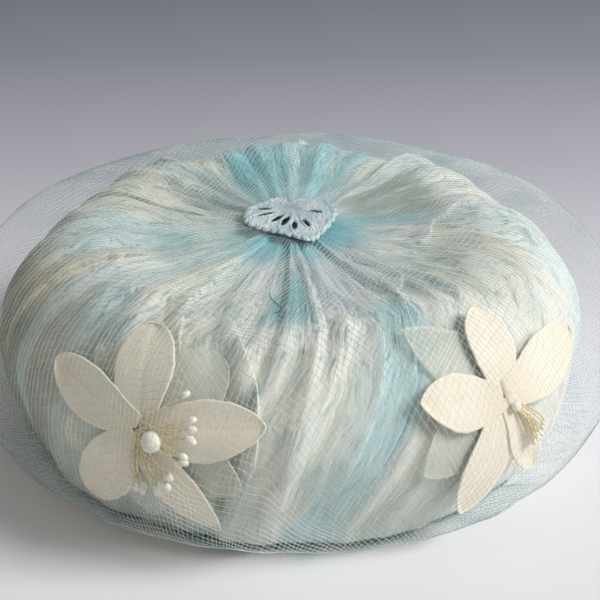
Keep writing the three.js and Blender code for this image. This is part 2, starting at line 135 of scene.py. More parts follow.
def about_axis(azimuth, radius, height):
    """A point, or a direction, at a distance from the hat's axis and a height."""
    angle = np.radians(azimuth)
    return np.stack(np.broadcast_arrays(radius * np.sin(angle), -radius * np.cos(angle), height), -1)


def crown_normal(azimuth, along, outward=True):
    """The direction off the crown: the section's run turned a quarter, level where it would
    point down, then turned about the hat's axis."""
    across = -np.interp(along, section_way, section_run[:, 1])
    up = np.interp(along, section_way, section_run[:, 0])
    level = outward & (up < 0)
    return about_axis(azimuth, np.where(level, 1, across), np.where(level, 0, up))


def on_crown(azimuth, along, lift, outward=True):
    """A point at a lift off the crown's ridges: the section's own point, turned to the azimuth,
    plus the lift times the direction off the crown."""
    azimuth, along, lift = np.broadcast_arrays(azimuth, along, lift)
    height = np.interp(along, section_way, section[:, 1])
    base = about_axis(azimuth, radius_at(along), height)
    return base + crown_normal(azimuth, along, outward) * lift[..., None]


def ripple(turn, along, count, drifts, seed):
    """Uneven waves round the hat, from -1 to 1: random heights at `count` places round it and at
    `drifts` places on the way down, eased from one to the next in both directions."""
    heights = np.random.default_rng(seed).uniform(-1, 1, (drifts + 2, count))
    around, down = np.broadcast_arrays(turn / 360 % 1 * count, np.clip(along, 0, 1) * drifts)
    column, row = around.astype(int), down.astype(int)
    ease_x, ease_y = smooth(0, 1, around - column), smooth(0, 1, down - row)
    upper, lower = (
        heights[at, column % count] * (1 - ease_x) + heights[at, (column + 1) % count] * ease_x
        for at in (row, row + 1)
    )
    return upper * (1 - ease_y) + lower * ease_y


def fold_share(along):
    """The share of their full depth that the folds have at a share of the way down."""
    return np.interp(along, FOLD_COURSE[:, 0], FOLD_COURSE[:, 1])


def lean_share(along):
    """The share of their full lean that the folds have at a share of the way down."""
    return np.interp(along, FOLD_COURSE[:, 0], FOLD_COURSE[:, 2])


def turn_from(azimuth, middle):
    """Degrees from one azimuth to another, the short way round."""
    return (azimuth - middle + 180) % 360 - 180


def flow(azimuth, along):
    """The azimuth that a fold at this place has at the top: the folds of the front lean over to
    the left on their way down, by the square of a cosine that is greatest a little to the right."""
    lean = FOLD_LEAN * lean_share(along)
    return azimuth + lean * np.maximum(np.cos(np.radians(azimuth - FOLD_LEAN_MOST)), 0) ** 2


def fold_depth(azimuth, along):
    """How deep the cloth lies below its ridges: a cosine with an uneven phase round the hat, to
    the depth of its course on the way down, with finer creases along the same flow. On the top
    the cloth lies loose, so its folds wander and its creases are deeper."""
    turn = flow(azimuth, along)
    loose = smooth(*LOOSE_FROM, along) * (1 - smooth(*LOOSE_TO, along))
    turned = np.radians(turn + FOLD_SWAY * loose * ripple(turn, along, *SWAY_WAVES))
    uneven = 0.9 * np.sin(3 * turned + 1) + 0.6 * np.sin(5 * turned + 2)
    wave = 0.5 - 0.5 * np.cos(FOLD_COUNT * turned + uneven)
    strength = 0.75 + 0.25 * np.sin(7 * turned + 0.5)
    creases = (CREASE_DEPTH + LOOSE_CREASE * loose) * ripple(turn, along, *CREASE_WAVES)
    fine = creases + CRINKLE_DEPTH * ripple(turn, along, *CRINKLE_WAVES)
    return FOLD_DEPTH * fold_share(along) * np.clip(wave * strength * 0.85 + fine, -0.12, 1.15)


def paint(code):
    """A colour's linear red, green and blue from its six hexadecimal digits."""
    values = np.array([int(code[i:i + 2], 16) for i in (0, 2, 4)]) / 255
    return np.where(values <= 0.04045, values / 12.92, ((values + 0.055) / 1.055) ** 2.4)


# The cloth's own colours; slate, moss and sage are painted shade.
TINTS_AND_SHADES = {name: paint(code) for name, code in [
    ("ivory", "e8e8e0"), ("cream", "e3e0ce"), ("straw", "cdc5aa"), ("mist", "d5e3e1"),
    ("aqua", "a5d1d8"), ("turquoise", "5bbecc"), ("teal", "7bacb1"), ("slate", "87989a"),
    ("lavender", "d2d4da"), ("sage", "bec5ba"), ("sky", "c6e0e2"), ("moss", "979c8c"),
]}
TINT_START = 0.03  # how softly a patch of a tint starts and ends, along
TINT_END = 0.06
TINT_EDGE = (0.55, 1.25)  # where it starts to fade at each side and is gone, in half widths
TINT_WAVES = [
    # how far its sides wander, in degrees; the waves round the hat and down it, and the seed
    (2.5, 36, 6, 21), (1.5, 90, 12, 22),
]
# Rows of slate, moss and sage are painted shade. They darken the hollows between the folds, the middle
# under the lace, the top and the lower sides, most on the left, away from the light.
TINT_AND_SHADE_CHART = [
    # where each tint shows: the middle of its patch in degrees of the folds' flow and its half
    # width; then in hundredths how far along it starts and ends, and how strong it is
    ("slate", 150, 105, -10, 42, 24),
    ("slate", 0, 400, -10, 5.5, 100),
    ("teal", 180, 42, 8, 50, 55),
    ("slate", 128, 26, 14, 42, 45),
    ("slate", 92, 22, 20, 42, 30),
    ("slate", 222, 22, 12, 34, 50),
    ("turquoise", 28, 92, 6, 13.5, 100),
    ("aqua", 335, 75, 10, 20, 60),
    ("sage", 290, 80, 52, 110, 75),
    ("sage", 20, 42, 60, 110, 25),
    ("aqua", 180, 27, 10, 85, 90),
    ("turquoise", 190, 9, 10, 50, 35),
    ("turquoise", 166, 6, 10, 45, 30),
    ("teal", 172, 4, 24, 38, 70),
    ("ivory", 180, 3, 20, 60, 30),
    ("slate", 221, 8, 18, 35, 90),
    ("cream", 212, 9, 36, 55, 70),
    ("cream", 235, 10, 30, 50, 70),
    ("cream", 248, 9, 20, 50, 80),
    ("sky", 262, 6, 20, 50, 60),
    ("sky", 276, 11, 20, 50, 70),
    ("teal", 285, 10, 22, 31, 60),
    ("ivory", 292, 9, 33, 48, 85),
    ("ivory", 302, 4, 31, 47, 95),
    ("teal", 310, 5, 22, 42, 50),
    ("sky", 312, 8, 43, 53, 70),
    ("cream", 321, 6, 19, 43, 90),
    ("slate", 336, 8, 27, 44, 35),
    ("lavender", 344, 8, 13, 27, 80),
    ("cream", 343, 8, 45, 60, 60),
    ("turquoise", 358, 8, 21, 44, 60),
    ("teal", 0, 7, 20, 44, 90),
    ("lavender", 12, 4, 13, 42, 95),
    ("slate", 20, 4, 32, 43, 85),
    ("lavender", 29, 10, 13, 34, 90),
    ("slate", 44, 7, 28, 44, 75),
    ("teal", 53, 9, 14, 30, 60),
    ("straw", 56, 6, 37, 47, 80),
    ("cream", 68, 8, 42, 56, 80),
    ("sage", 66, 8, 27, 42, 80),
    ("lavender", 84, 10, 16, 26, 70),
    ("cream", 84, 10, 25, 36, 80),
    ("teal", 105, 10, 12, 31, 90),
    ("mist", 100, 13, 37, 60, 70),
    ("slate", 130, 10, 18, 36, 95),
    ("ivory", 128, 14, 37, 47, 90),
    ("cream", 150, 8, 30, 50, 60),
    ("ivory", 352, 8, 45, 68, 80),
    ("sage", 5, 4, 50, 86, 60),
    ("slate", 4, 2, 58, 76, 40),
    ("ivory", 10, 2.5, 46, 82, 90),
    ("sage", 13, 1.5, 50, 85, 60),
    ("ivory", 16.5, 3, 42, 76, 95),
    ("sage", 20, 1.5, 46, 80, 80),
    ("sky", 28, 6, 38, 97, 95),
    ("ivory", 23, 1.5, 44, 80, 70),
    ("aqua", 31, 2.5, 40, 75, 80),
    ("slate", 36, 3, 46, 64, 50),
    ("sage", 44, 9, 50, 110, 60),
    ("straw", 78, 9, 40, 52, 60),
    ("ivory", 80, 12, 56, 95, 60),
    ("sky", 94, 9, 45, 95, 60),
    ("moss", 278, 24, 58, 110, 95),
    ("straw", 286, 6, 46, 62, 70),
    ("teal", 316, 8, 50, 68, 20),
    ("ivory", 0, 5, 46, 62, 70),
    ("moss", 128, 20, 16, 38, 85),
    ("moss", 60, 8, 24, 40, 45),
    ("moss", 82, 7, 33, 42, 50),
    ("sage", 67, 9, 40, 50, 80),
    ("slate", 227, 10, 20, 32, 50),
    ("moss", 306, 9, 66, 110, 60),
    ("ivory", 294, 8, 42, 50, 60),
    ("sky", 33, 4, 46, 70, 70),
    ("turquoise", 28, 95, 6, 14.5, 80),
]


def tint_and_shade_at(turn, along):
    """The cloth's colour with its painted shade: ivory, then each patch of the chart over what is
    there, as strong as a bell across the flow times a soft start and end along it; the slate, moss and
    sage patches are painted shade."""
    turn, along = np.broadcast_arrays(turn, along)
    color = np.broadcast_to(TINTS_AND_SHADES["ivory"], turn.shape + (3,)).copy()
    wander = sum(sway * ripple(turn, along, *waves) for sway, *waves in TINT_WAVES)
    for name, middle, half, *hundredths in TINT_AND_SHADE_CHART:
        start, end, strength = np.array(hundredths) / 100
        bell = 1 - smooth(*TINT_EDGE, np.abs(turn_from(turn + wander, middle)) / half)
        started = smooth(start - TINT_START, start + TINT_START, along)
        window = started * (1 - smooth(end - TINT_END, end + TINT_END, along))
        color += (TINTS_AND_SHADES[name] - color) * (strength * bell * window)[..., None]
    return color


def grid_faces(rows, columns, closed=False):
    """The four corners of each cell of a grid of points, by rows, as indices; a closed grid joins
    its last column to its first."""
    row, column = np.mgrid[0:rows - 1, 0:columns if closed else columns - 1]
    right = (column + 1) % columns
    corners = [row * columns + column, (row + 1) * columns + column,
               (row + 1) * columns + right, row * columns + right]
    return np.stack(corners, -1).reshape(-1, 4)


def fan(hub, here, there):
    """Triangles from one point to pairs of points, as indices."""
    return np.stack([np.full(len(here), hub), here, there], -1)


def make_piece(name, points, faces, slot, material, **values):
    """An object from arrays: its points, one or more lists of faces, and values for its points,
    each kept as an attribute of that name. It rides on the hat."""
    points = np.asarray(points, np.float32).reshape(-1, 3)
    lists = faces if isinstance(faces, list) else [faces]
    corners = np.concatenate([f.ravel() for f in lists]).astype(np.int32)
    sizes = np.concatenate([np.full(len(f), f.shape[1]) for f in lists])
    starts = np.concatenate([[0], np.cumsum(sizes)[:-1]]).astype(np.int32)
    mesh = bpy.data.meshes.new(name)
    mesh.vertices.add(len(points))
    mesh.vertices.foreach_set("co", points.ravel())
    mesh.loops.add(len(corners))
    mesh.loops.foreach_set("vertex_index", corners)
    mesh.polygons.add(len(sizes))
    mesh.polygons.foreach_set("loop_start", starts)
    mesh.polygons.foreach_set("use_smooth", np.full(len(sizes), True))
    for key, value in values.items():
        value = np.asarray(value, np.float32).reshape(len(points), -1)
        kind = {1: "FLOAT", 3: "FLOAT_VECTOR"}[value.shape[1]]
        attribute = mesh.attributes.new(key, kind, "POINT")
        attribute.data.foreach_set("value" if kind == "FLOAT" else "vector", value.ravel())
    mesh.update(calc_edges=True)
    mesh.materials.append(material)
    piece = bpy.data.objects.new(name, mesh)
    bpy.context.scene.collection.objects.link(piece)
    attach(piece, "root")
    return piece


class Wire:
    """A socket of a material that takes part in expressions: sums, differences and products add
    Math nodes. node() adds any other node from its type, its settings, which are set first, and
    the values or wires of its sockets."""

    def __init__(self, tree, socket=None):
        self.tree = tree
        self.socket = socket

    def node(self, kind, settings=None, sockets=None, output=0):
        made = self.tree.nodes.new(kind)
        for key, value in (settings or {}).items():
            if key == "stops":
                ramp = made.color_ramp
                while len(ramp.elements) < len(value):
                    ramp.elements.new(1)
                for element, (place, color) in zip(ramp.elements, value):
                    element.position = place
                    element.color = (*color, 1)
            else:
                setattr(made, key, value)
        for key, value in (sockets or {}).items():
            if isinstance(value, Wire):
                self.tree.links.new(value.socket, made.inputs[key])
            else:
                made.inputs[key].default_value = value
        return Wire(self.tree, made.outputs[output]) if made.outputs else None

    def math(self, operation, first, second):
        return self.node("ShaderNodeMath", {"operation": operation}, {0: first, 1: second})

    def __add__(self, other):
        return self.math("ADD", self, other)

    def __sub__(self, other):
        return self.math("SUBTRACT", self, other)

    def __rsub__(self, other):
        return self.math("SUBTRACT", other, self)

    def __mul__(self, other):
        return self.math("MULTIPLY", self, other)

    __radd__ = __add__
    __rmul__ = __mul__

    def step(self, low, high):
        """This value eased from 0 at low to 1 at high."""
        settings = {"interpolation_type": "SMOOTHSTEP"}
        sockets = {"Value": self, "From Min": low, "From Max": high}
        return self.node("ShaderNodeMapRange", settings, sockets)

    def place(self):
        """The point's place on the object."""
        return self.node("ShaderNodeTexCoord", {}, {}, "Object")

    def part(self, vector, name):
        """One of the three parts of a vector."""
        return self.node("ShaderNodeSeparateXYZ", {}, {0: vector}, name)

    def kept(self, name, output="Vector"):
        """The value of this name that the piece keeps for each of its points."""
        return self.node("ShaderNodeAttribute", {"attribute_name": name}, {}, output)

    def bump(self, height, strength, distance):
        """The surface's direction, tilted as a relief that is a distance high would tilt it."""
        sockets = {"Strength": strength, "Distance": distance, "Height": height}
        return self.node("ShaderNodeBump", {}, sockets)

    def noise(self, vector, scale, detail=2.0, roughness=0.5):
        sockets = {"Vector": vector, "Scale": scale, "Detail": detail, "Roughness": roughness}
        return self.node("ShaderNodeTexNoise", {}, sockets)

    def stretch(self, vector, by):
        """A vector with each of its parts times one of three numbers."""
        return self.node("ShaderNodeVectorMath", {"operation": "MULTIPLY"}, {0: vector, 1: by})

    def mix(self, share, first, second):
        """A colour between two colours."""
        first, second = ((*c, 1) if isinstance(c, (tuple, np.ndarray)) else c for c in (first, second))
        sockets = {0: share, 6: first, 7: second}
        return self.node("ShaderNodeMix", {"data_type": "RGBA"}, sockets, 2)


def make_material(name, shade):
    """A material whose Principled shader has the sockets that shade(wire) gives."""
    material = bpy.data.materials.new(name)
    material.use_nodes = True
    material.node_tree.nodes.clear()
    wire = Wire(material.node_tree)
    surface = wire.node("ShaderNodeBsdfPrincipled", {}, shade(wire))
    wire.node("ShaderNodeOutputMaterial", {}, {"Surface": surface})
    return material


CREASE_DRIFT = 14 * MM  # how far the creases wander from the folds' flow
TOP_SHADE_HEIGHT = (62 * MM, 74 * MM)  # above it the painted shade in the creases is deeper


def chiffon_look(wire):
    """Crinkled chiffon in the tint of its place: creases and finer crinkles run along the folds,
    with paler and bluer streaks, over a close crepe weave. The creases and crinkles get painted
    shade in their hollows, deeper on the top, and a painted highlight and glint on their ridges."""
    tint = wire.kept("tint", "Color")
    course = wire.kept("course")
    place = wire.place()
    drift = wire.node("ShaderNodeTexNoise", {}, {"Vector": course, "Scale": 55, "Detail": 1}, "Color")
    aside = {0: drift, 1: [CREASE_DRIFT] * 3, 2: course}
    drifting = wire.node("ShaderNodeVectorMath", {"operation": "MULTIPLY_ADD"}, aside)
    # painted shade is deeper on the top, above these heights
    top_shade = wire.part(place, "Z").step(*TOP_SHADE_HEIGHT)
    creases = wire.noise(wire.stretch(drifting, (1, 1, 0.24)), 290, 3, 0.6)
    crinkles = wire.noise(wire.stretch(drifting, (1, 1, 0.13)), 760, 2, 0.6)
    bands = wire.noise(wire.stretch(drifting, (1, 1, 0.25)), 80)
    weave = wire.noise(place, 2600, 1)
    pale = wire.mix(bands.step(0.5, 0.75) * 0.35, tint, TINTS_AND_SHADES["ivory"])
    blued = wire.mix((1 - bands.step(0.28, 0.48)) * 0.3, pale, TINTS_AND_SHADES["aqua"])
    # painted shade: the hollows of the creases darkened
    shaded = wire.mix((1 - creases.step(0.3, 0.52)) * (top_shade * 0.4 + 0.26), blued, paint("7d9293"))
    # painted highlight: the ridges of the creases paler
    ridge_highlit = wire.mix(creases.step(0.56, 0.74) * 0.32, shaded, TINTS_AND_SHADES["ivory"])
    # painted shade: the grooves of the crinkles darkened
    groove_shade = (1 - crinkles.step(0.32, 0.46)) * (top_shade * 0.38 + 0.26)
    groove_shaded = wire.mix(groove_shade, ridge_highlit, paint("7b9294"))
    # painted glint: the ridges of the crinkles lighter
    crinkle_glint = wire.mix(crinkles.step(0.56, 0.7) * 0.32, groove_shaded, paint("f4f4ee"))
    relief = creases + crinkles * 0.7 + weave * 0.15
    return {
        "Base Color": crinkle_glint,
        "Roughness": 0.82,
        "Normal": wire.bump(relief, 0.6, 1.0 * MM),
        "Sheen Weight": 0.2,
        "Sheen Roughness": 0.4,
    }


chiffon = make_material("chiffon", chiffon_look)


def course_of(turn, along):
    """Where a point is in the folds' flow, as a place on an upright cylinder that is as wide as
    the hat: the pattern closes round it."""
    angle = np.radians(turn)
    parts = np.broadcast_arrays(np.cos(angle), np.sin(angle), along * SECTION_LENGTH / CROWN_RADIUS)
    return np.stack(parts, -1) * CROWN_RADIUS


along, azimuth = np.meshgrid(
    np.linspace(0, 1, CROWN_ROWS)[1:], np.arange(CROWN_COLUMNS) * 360 / CROWN_COLUMNS,
    indexing="ij",
)
outside = on_crown(azimuth, along, -fold_depth(azimuth, along), outward=False)
outside[..., 2] = np.maximum(outside[..., 2], 0)
inset = CLOTH_WALL + FOLD_DEPTH
lining_along = np.linspace(1, 0, LINING_ROWS)[:-1, None]
lining = on_crown(azimuth[0], lining_along, -inset, outward=False)
lining[0, :, 2] = 0
rows = np.concatenate([outside, lining])
centres = [[0, 0, crown_high.z], [0, 0, crown_high.z - inset]]
points = np.concatenate([rows.reshape(-1, 3), centres])
top, under = len(points) - 2, len(points) - 1
first = np.arange(CROWN_COLUMNS)
last = first + (len(rows) - 1) * CROWN_COLUMNS
caps = np.concatenate([
    fan(top, first, np.roll(first, -1)), fan(under, np.roll(last, -1), last)
])
turn = flow(azimuth, along)
tint = np.concatenate([
    tint_and_shade_at(turn, along).reshape(-1, 3),
    np.broadcast_to(TINTS_AND_SHADES["ivory"], (lining.shape[0] * CROWN_COLUMNS + 2, 3)),
])
course = course_of(turn, along)
course = np.concatenate([
    course.reshape(-1, 3),
    np.broadcast_to(course_of(azimuth[0], lining_along), lining.shape).reshape(-1, 3),
    np.zeros((2, 3)),
])
crown = make_piece(
    "crown_drape", points, [grid_faces(len(rows), CROWN_COLUMNS, closed=True), caps],
    "ivory_cloth", chiffon, tint=tint, course=course,
)
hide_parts("crown")

# The swathes: eight lengths of turquoise chiffon, pleated into the centre under the lace and
# drawn down between the ivory folds. Each is one strip with soft ridges along it.
SWATHE_WALL = 1.0 * MM
SWATHE_RIDGE = 1.1 * MM
CLEARANCE = 0.3 * MM
SWATHE_START = 0.078
SWATHE_END = 0.955
SWATHES = [
    # node, azimuth, width and lean in degrees, ridges
    ("swathe_back", 180, 34, 0, 3),
    ("swathe_back_right", 137, 24, 3, 2),
    ("swathe_right", 98, 22, 2, 2),
    ("swathe_front_right", 42, 26, -24, 3),
    ("swathe_front", 3, 15, -12, 2),
    ("swathe_front_left", -46, 24, 2, 2),
    ("swathe_left", -88, 22, 3, 2),
    ("swathe_back_left", -137, 20, 0, 2),
]
SWATHE_ROWS = 110
SWATHE_COLUMNS = 44
SWATHE_EDGE = 0.22  # share of its width in which each side of a swathe melts into the crown
SWATHE_TUCK = 0.25 * MM  # how far each side ends below the crown's cloth


def swathe_lift(row, number, azimuth, along):
    """A swathe's lift where it lies, and far below the cloth elsewhere: its wall and soft
    ridges, a cosine across it, sink at both sides to the crown's own folds."""
    _, middle, width, lean, ridges = row
    across = turn_from(azimuth - middle, lean * lean_share(along)) / width + 0.5
    phase = across + 0.1 * ripple(along * 360, across * 0, 7, 1, 51 + number)
    ridge = 0.5 - 0.5 * np.cos(2 * np.pi * ridges * phase)
    fine = ripple(across * 360, along, 24, 5, 71 + number)
    lift = CLEARANCE + SWATHE_WALL + SWATHE_RIDGE * fold_share(along) * (ridge * 0.9 + 0.2 * fine)
    settled = smooth(0, SWATHE_EDGE, across) * (1 - smooth(1 - SWATHE_EDGE, 1, across))
    below = -fold_depth(azimuth, along) - SWATHE_TUCK
    lift = below + (lift - below) * settled
    inside = (across >= 0) & (across <= 1) & (along >= SWATHE_START) & (along <= SWATHE_END)
    return np.where(inside, lift, -FOLD_DEPTH - MM)


def cloth_lift(azimuth, along):
    """The lift of whatever cloth lies uppermost: the crown's folds or a swathe."""
    lifts = [swathe_lift(row, number, azimuth, along) for number, row in enumerate(SWATHES)]
    return np.maximum(-fold_depth(azimuth, along), np.max(lifts, axis=0))


for number, row in enumerate(SWATHES):
    node, middle, width, lean, _ = row
    along, across = np.meshgrid(
        np.linspace(SWATHE_START, SWATHE_END, SWATHE_ROWS), np.linspace(0, 1, SWATHE_COLUMNS),
        indexing="ij",
    )
    azimuth = middle + lean * lean_share(along) + (across - 0.5) * width
    lift = swathe_lift(row, number, azimuth, along)
    turn = flow(azimuth, along)
    swathe = make_piece(
        node + "_chiffon", on_crown(azimuth, along, lift), grid_faces(SWATHE_ROWS, SWATHE_COLUMNS),
        "blue_chiffon", chiffon, tint=tint_and_shade_at(turn, along), course=course_of(turn, along),
    )
    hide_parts(node)

# The pleats: single folds of the same chiffon that lie over the swathes. Each is drawn out
# from the centre, rises to a crisp rolled edge on one side and melts into the cloth on the other.
PLEAT_ROWS = 90
PLEAT_COLUMNS = 18
ROLL_RADIUS = 0.55 * MM
ROLL_STEPS = 5
PLEAT_TUCK = 0.1 * MM  # how far below the cloth its crisp side ends
PLEAT_GROWTH = 0.25  # share of its length in which a pleat rises to its full height
PLEAT_FALL = 0.7  # from which share on it sinks again
PLEAT_SINK = 0.05 * MM  # how far its soft side lies below the cloth, and how much more at the ends
PLEAT_END_SINK = 0.15 * MM
PLEAT_DYE = 0.6  # how much of a pleat's own tint shows over that of its place
PLEATS = [
    # name, which side the crisp edge is on (1 right, -1 left), rise and tint, and the crisp
    # edge's path, by azimuth, hundredths along and the fold's width in millimetres
    ("front_cream", 1, 2.8, "ivory",
     [(15, 40, 3), (13, 47, 9), (3.5, 66, 13), (-1, 77, 8), (-3, 86, 2)]),
    ("front_second", 1, 1.6, "mist",
     [(23, 43, 2), (21, 50, 7), (16, 63, 9), (10, 75, 7), (5, 88, 2)]),
    ("front_blue", 1, 1.0, "sky",
     [(35, 36, 3), (28, 50, 10), (23, 62, 13), (13, 78, 11), (4, 93, 3)]),
    ("left_cream", 1, 1.1, "cream",
     [(-36, 20, 3), (-33, 33, 8), (-30, 42, 8), (-24, 55, 3)]),
    ("flower_cream", 1, 2.6, "ivory",
     [(-19, 40, 3), (-12, 49, 11), (-7, 58, 12), (-6, 68, 8), (-7, 78, 2)]),
    ("left_blue", -1, 1.2, "mist",
     [(-62, 22, 3), (-64, 36, 9), (-66, 50, 10), (-66, 70, 7), (-64, 90, 3)]),
    ("left_straw", 1, 1.5, "straw",
     [(-70, 30, 3), (-70, 45, 8), (-72, 60, 9), (-74, 80, 3)]),
    ("left_back", 1, 0.8, "cream",
     [(-112, 18, 3), (-114, 30, 9), (-116, 45, 10), (-118, 65, 3)]),
    ("left_loop", -1, 0.9, "mist",
     [(-134, 16, 3), (-137, 30, 8), (-140, 42, 9), (-142, 60, 3)]),
    ("back_blue", -1, 0.9, "turquoise",
     [(-160, 14, 3), (-163, 30, 8), (-165, 50, 9), (-166, 75, 3)]),
    ("back_ivory", 1, 1.2, "ivory",
     [(178, 46, 3), (178, 56, 8), (178, 68, 9), (179, 88, 4)]),
    ("back_right", 1, 0.9, "mist",
     [(150, 14, 3), (147, 30, 8), (144, 46, 9), (142, 70, 3)]),
    ("right_sweep", 1, 1.2, "lavender",
     [(112, 46, 2), (104, 38, 6), (93, 31, 8), (80, 28.5, 7), (73, 20, 3)]),
    ("right_cream", 1, 1.5, "ivory",
     [(74, 16, 3), (71, 30, 8), (69, 46, 10), (66, 66, 9), (62, 85, 3)]),
    ("right_blue", 1, 1.4, "mist",
     [(96, 34, 3), (92, 50, 9), (88, 68, 9), (84, 88, 3)]),
    ("loop_front", 1, 1.5, "lavender",
     [(10, 13, 3), (14, 22, 8), (17, 32, 9), (19, 42, 4)]),
    ("loop_right", 1, 1.5, "lavender",
     [(52, 12, 2), (50, 20, 7), (46, 28, 9), (40, 35, 8), (32, 39, 3)]),
]


def pleat_points(side, rise, path):
    """A fold carried along its path: its profile runs from the cloth up to the top of the roll,
    a smooth ramp, then a quarter of a circle over it and straight down into the cloth."""
    path = spline(np.array(path) / (1, 100, 1), np.linspace(0, 1, PLEAT_ROWS))
    azimuth, along, width = path[:, :1], path[:, 1:2], path[:, 2:] * MM
    share = np.linspace(0, 1, PLEAT_ROWS)[:, None]
    taper = smooth(0, PLEAT_GROWTH, share) * (1 - smooth(PLEAT_FALL, 1, share))
    height = rise * MM * taper
    roll = ROLL_RADIUS * taper
    ramp = np.linspace(0, 1, PLEAT_COLUMNS)[None, :-1]
    turned = np.linspace(0.5, 0, ROLL_STEPS)[None, :] * np.pi
    even = np.ones_like(width)
    away = np.concatenate([width * (ramp - 1), roll * np.cos(turned), roll * even, roll * even], 1)
    up = np.concatenate([
        (height + roll) * smooth(0, 1, ramp) ** 0.8,
        height + roll * np.sin(turned),
        0.4 * height,
        -PLEAT_TUCK * even,
    ], 1)
    ahead = np.gradient(path[:, :2], axis=0)
    down = ahead[:, 1:] * SECTION_LENGTH
    round_way = np.radians(ahead[:, :1]) * radius_at(along)
    length = np.hypot(down, round_way)
    step_round = side * away * down / length
    step_down = -side * away * round_way / length
    along = along + step_down / SECTION_LENGTH
    azimuth = azimuth + np.degrees(step_round / radius_at(along))
    melt = PLEAT_END_SINK * (1 - taper) + PLEAT_SINK
    uneven = 1 + 0.12 * ripple(along * 360, along, 30, 3, 91)
    up = up * uneven + cloth_lift(azimuth, along) - melt
    return azimuth, along, up, length.sum()


for name, side, rise, color, path in PLEATS:
    azimuth, along, lift, length = pleat_points(side, rise, path)
    faces = grid_faces(PLEAT_ROWS, azimuth.shape[1])
    faces = faces if side > 0 else faces[:, ::-1]
    turn = flow(azimuth, along)
    tint = tint_and_shade_at(turn, along)
    tint += (TINTS_AND_SHADES[color] - tint) * PLEAT_DYE
    pleat = make_piece(
        name + "_pleat", on_crown(azimuth, along, lift), faces, "ivory_cloth", chiffon,
        tint=tint, course=course_of(turn, along),
    )

# The flowers: each has five petals cut from ivory cloth over five smaller leaves of organza,
# all sewn down at the middle under the bunch of stamens.
PETAL_LENGTH = 40 * MM
PETAL_WIDTH = 20 * MM
ROOT_REACH = 0.4 * MM  # where a petal's root starts, from the flower's centre
SWATHE_TOP = CLEARANCE + SWATHE_WALL + SWATHE_RIDGE
ORGANZA_SEAT = SWATHE_TOP + 2 * CLEARANCE
ORGANZA_STACK = 0.8 * MM  # how thick the leaves of organza are where they lie over each other
PETAL_SEAT = ORGANZA_SEAT + ORGANZA_STACK + 2 * CLEARANCE
PETAL_CLOTH = 0.5 * MM
ORGANZA_CLOTH = 0.25 * MM
LEAF_FILL = 0.68  # share of a leaf's length times its width that its outline fills
FLOWERS = [
    {
        "name": "left", "azimuth": -27, "along": 0.688,
        # turn in degrees from the right, anticlockwise; length and width as shares of the
        # broadest; how pointed the tip is, from 0 to 1; how far the petal curves aside
        "petal": [
            (9, 1.0, 0.9, 0.55, -0.02), (103, 0.77, 1.02, 0.05, -0.03), (167, 0.94, 0.78, 0.15, -0.02),
            (235, 0.86, 0.97, 0.05, 0.03), (308, 1.0, 0.75, 0.9, 0.06),
        ],
        "organza": [
            (50, 0.8, 1.25, 0.1, 0.0), (136, 0.75, 0.75, 0.2, 0.05), (201, 0.8, 0.8, 0.2, 0.0),
            (271, 0.8, 0.85, 0.2, 0.05), (337, 0.92, 0.9, 0.3, 0.0),
        ],
        # the stamens' bunches, by first turn, last turn and number; where a thread starts and the
        # furthest that one ends, and the pips' radius; then the bud's turn, reach and radius
        "fans": [(-90, -42, 10), (-22, 17, 7), (44.5, 44.5, 1)], "span": (0.5, 19), "pip": 1.25,
        "bud": (-20, 6.6, 3.6),
    },
    {
        "name": "right", "azimuth": 40.5, "along": 0.673,
        "petal": [
            (5, 1.04, 0.9, 0.4, 0.04), (76, 0.7, 0.88, 0.1, 0.04), (170, 0.77, 0.88, 0.6, -0.02),
            (243, 1.0, 0.95, 0.45, 0.03), (293, 0.8, 0.66, 0.2, 0.0),
        ],
        "organza": [
            (40, 0.7, 0.75, 0.3, 0.0), (124, 0.9, 1.0, 0.6, 0.03), (206, 0.9, 1.0, 0.5, 0.0),
            (268, 0.75, 0.7, 0.2, 0.0), (330, 0.75, 0.8, 0.2, 0.0),
        ],
        "fans": [(-62, -40, 9)], "span": (4.5, 19), "pip": 0.9, "bud": (-58, 4.2, 1.7),
    },
]
PETAL_ROWS = 44
PETAL_COLUMNS = 24


def beside_flower(flower, right, up, lift):
    """A point beside a flower's centre, laid on the crown: right and up in metres."""
    along = flower["along"] - up / SECTION_LENGTH
    azimuth = flower["azimuth"] + np.degrees(right / radius_at(np.clip(along, 0, 1)))
    return on_crown(azimuth, np.clip(along, 0, 1), lift)


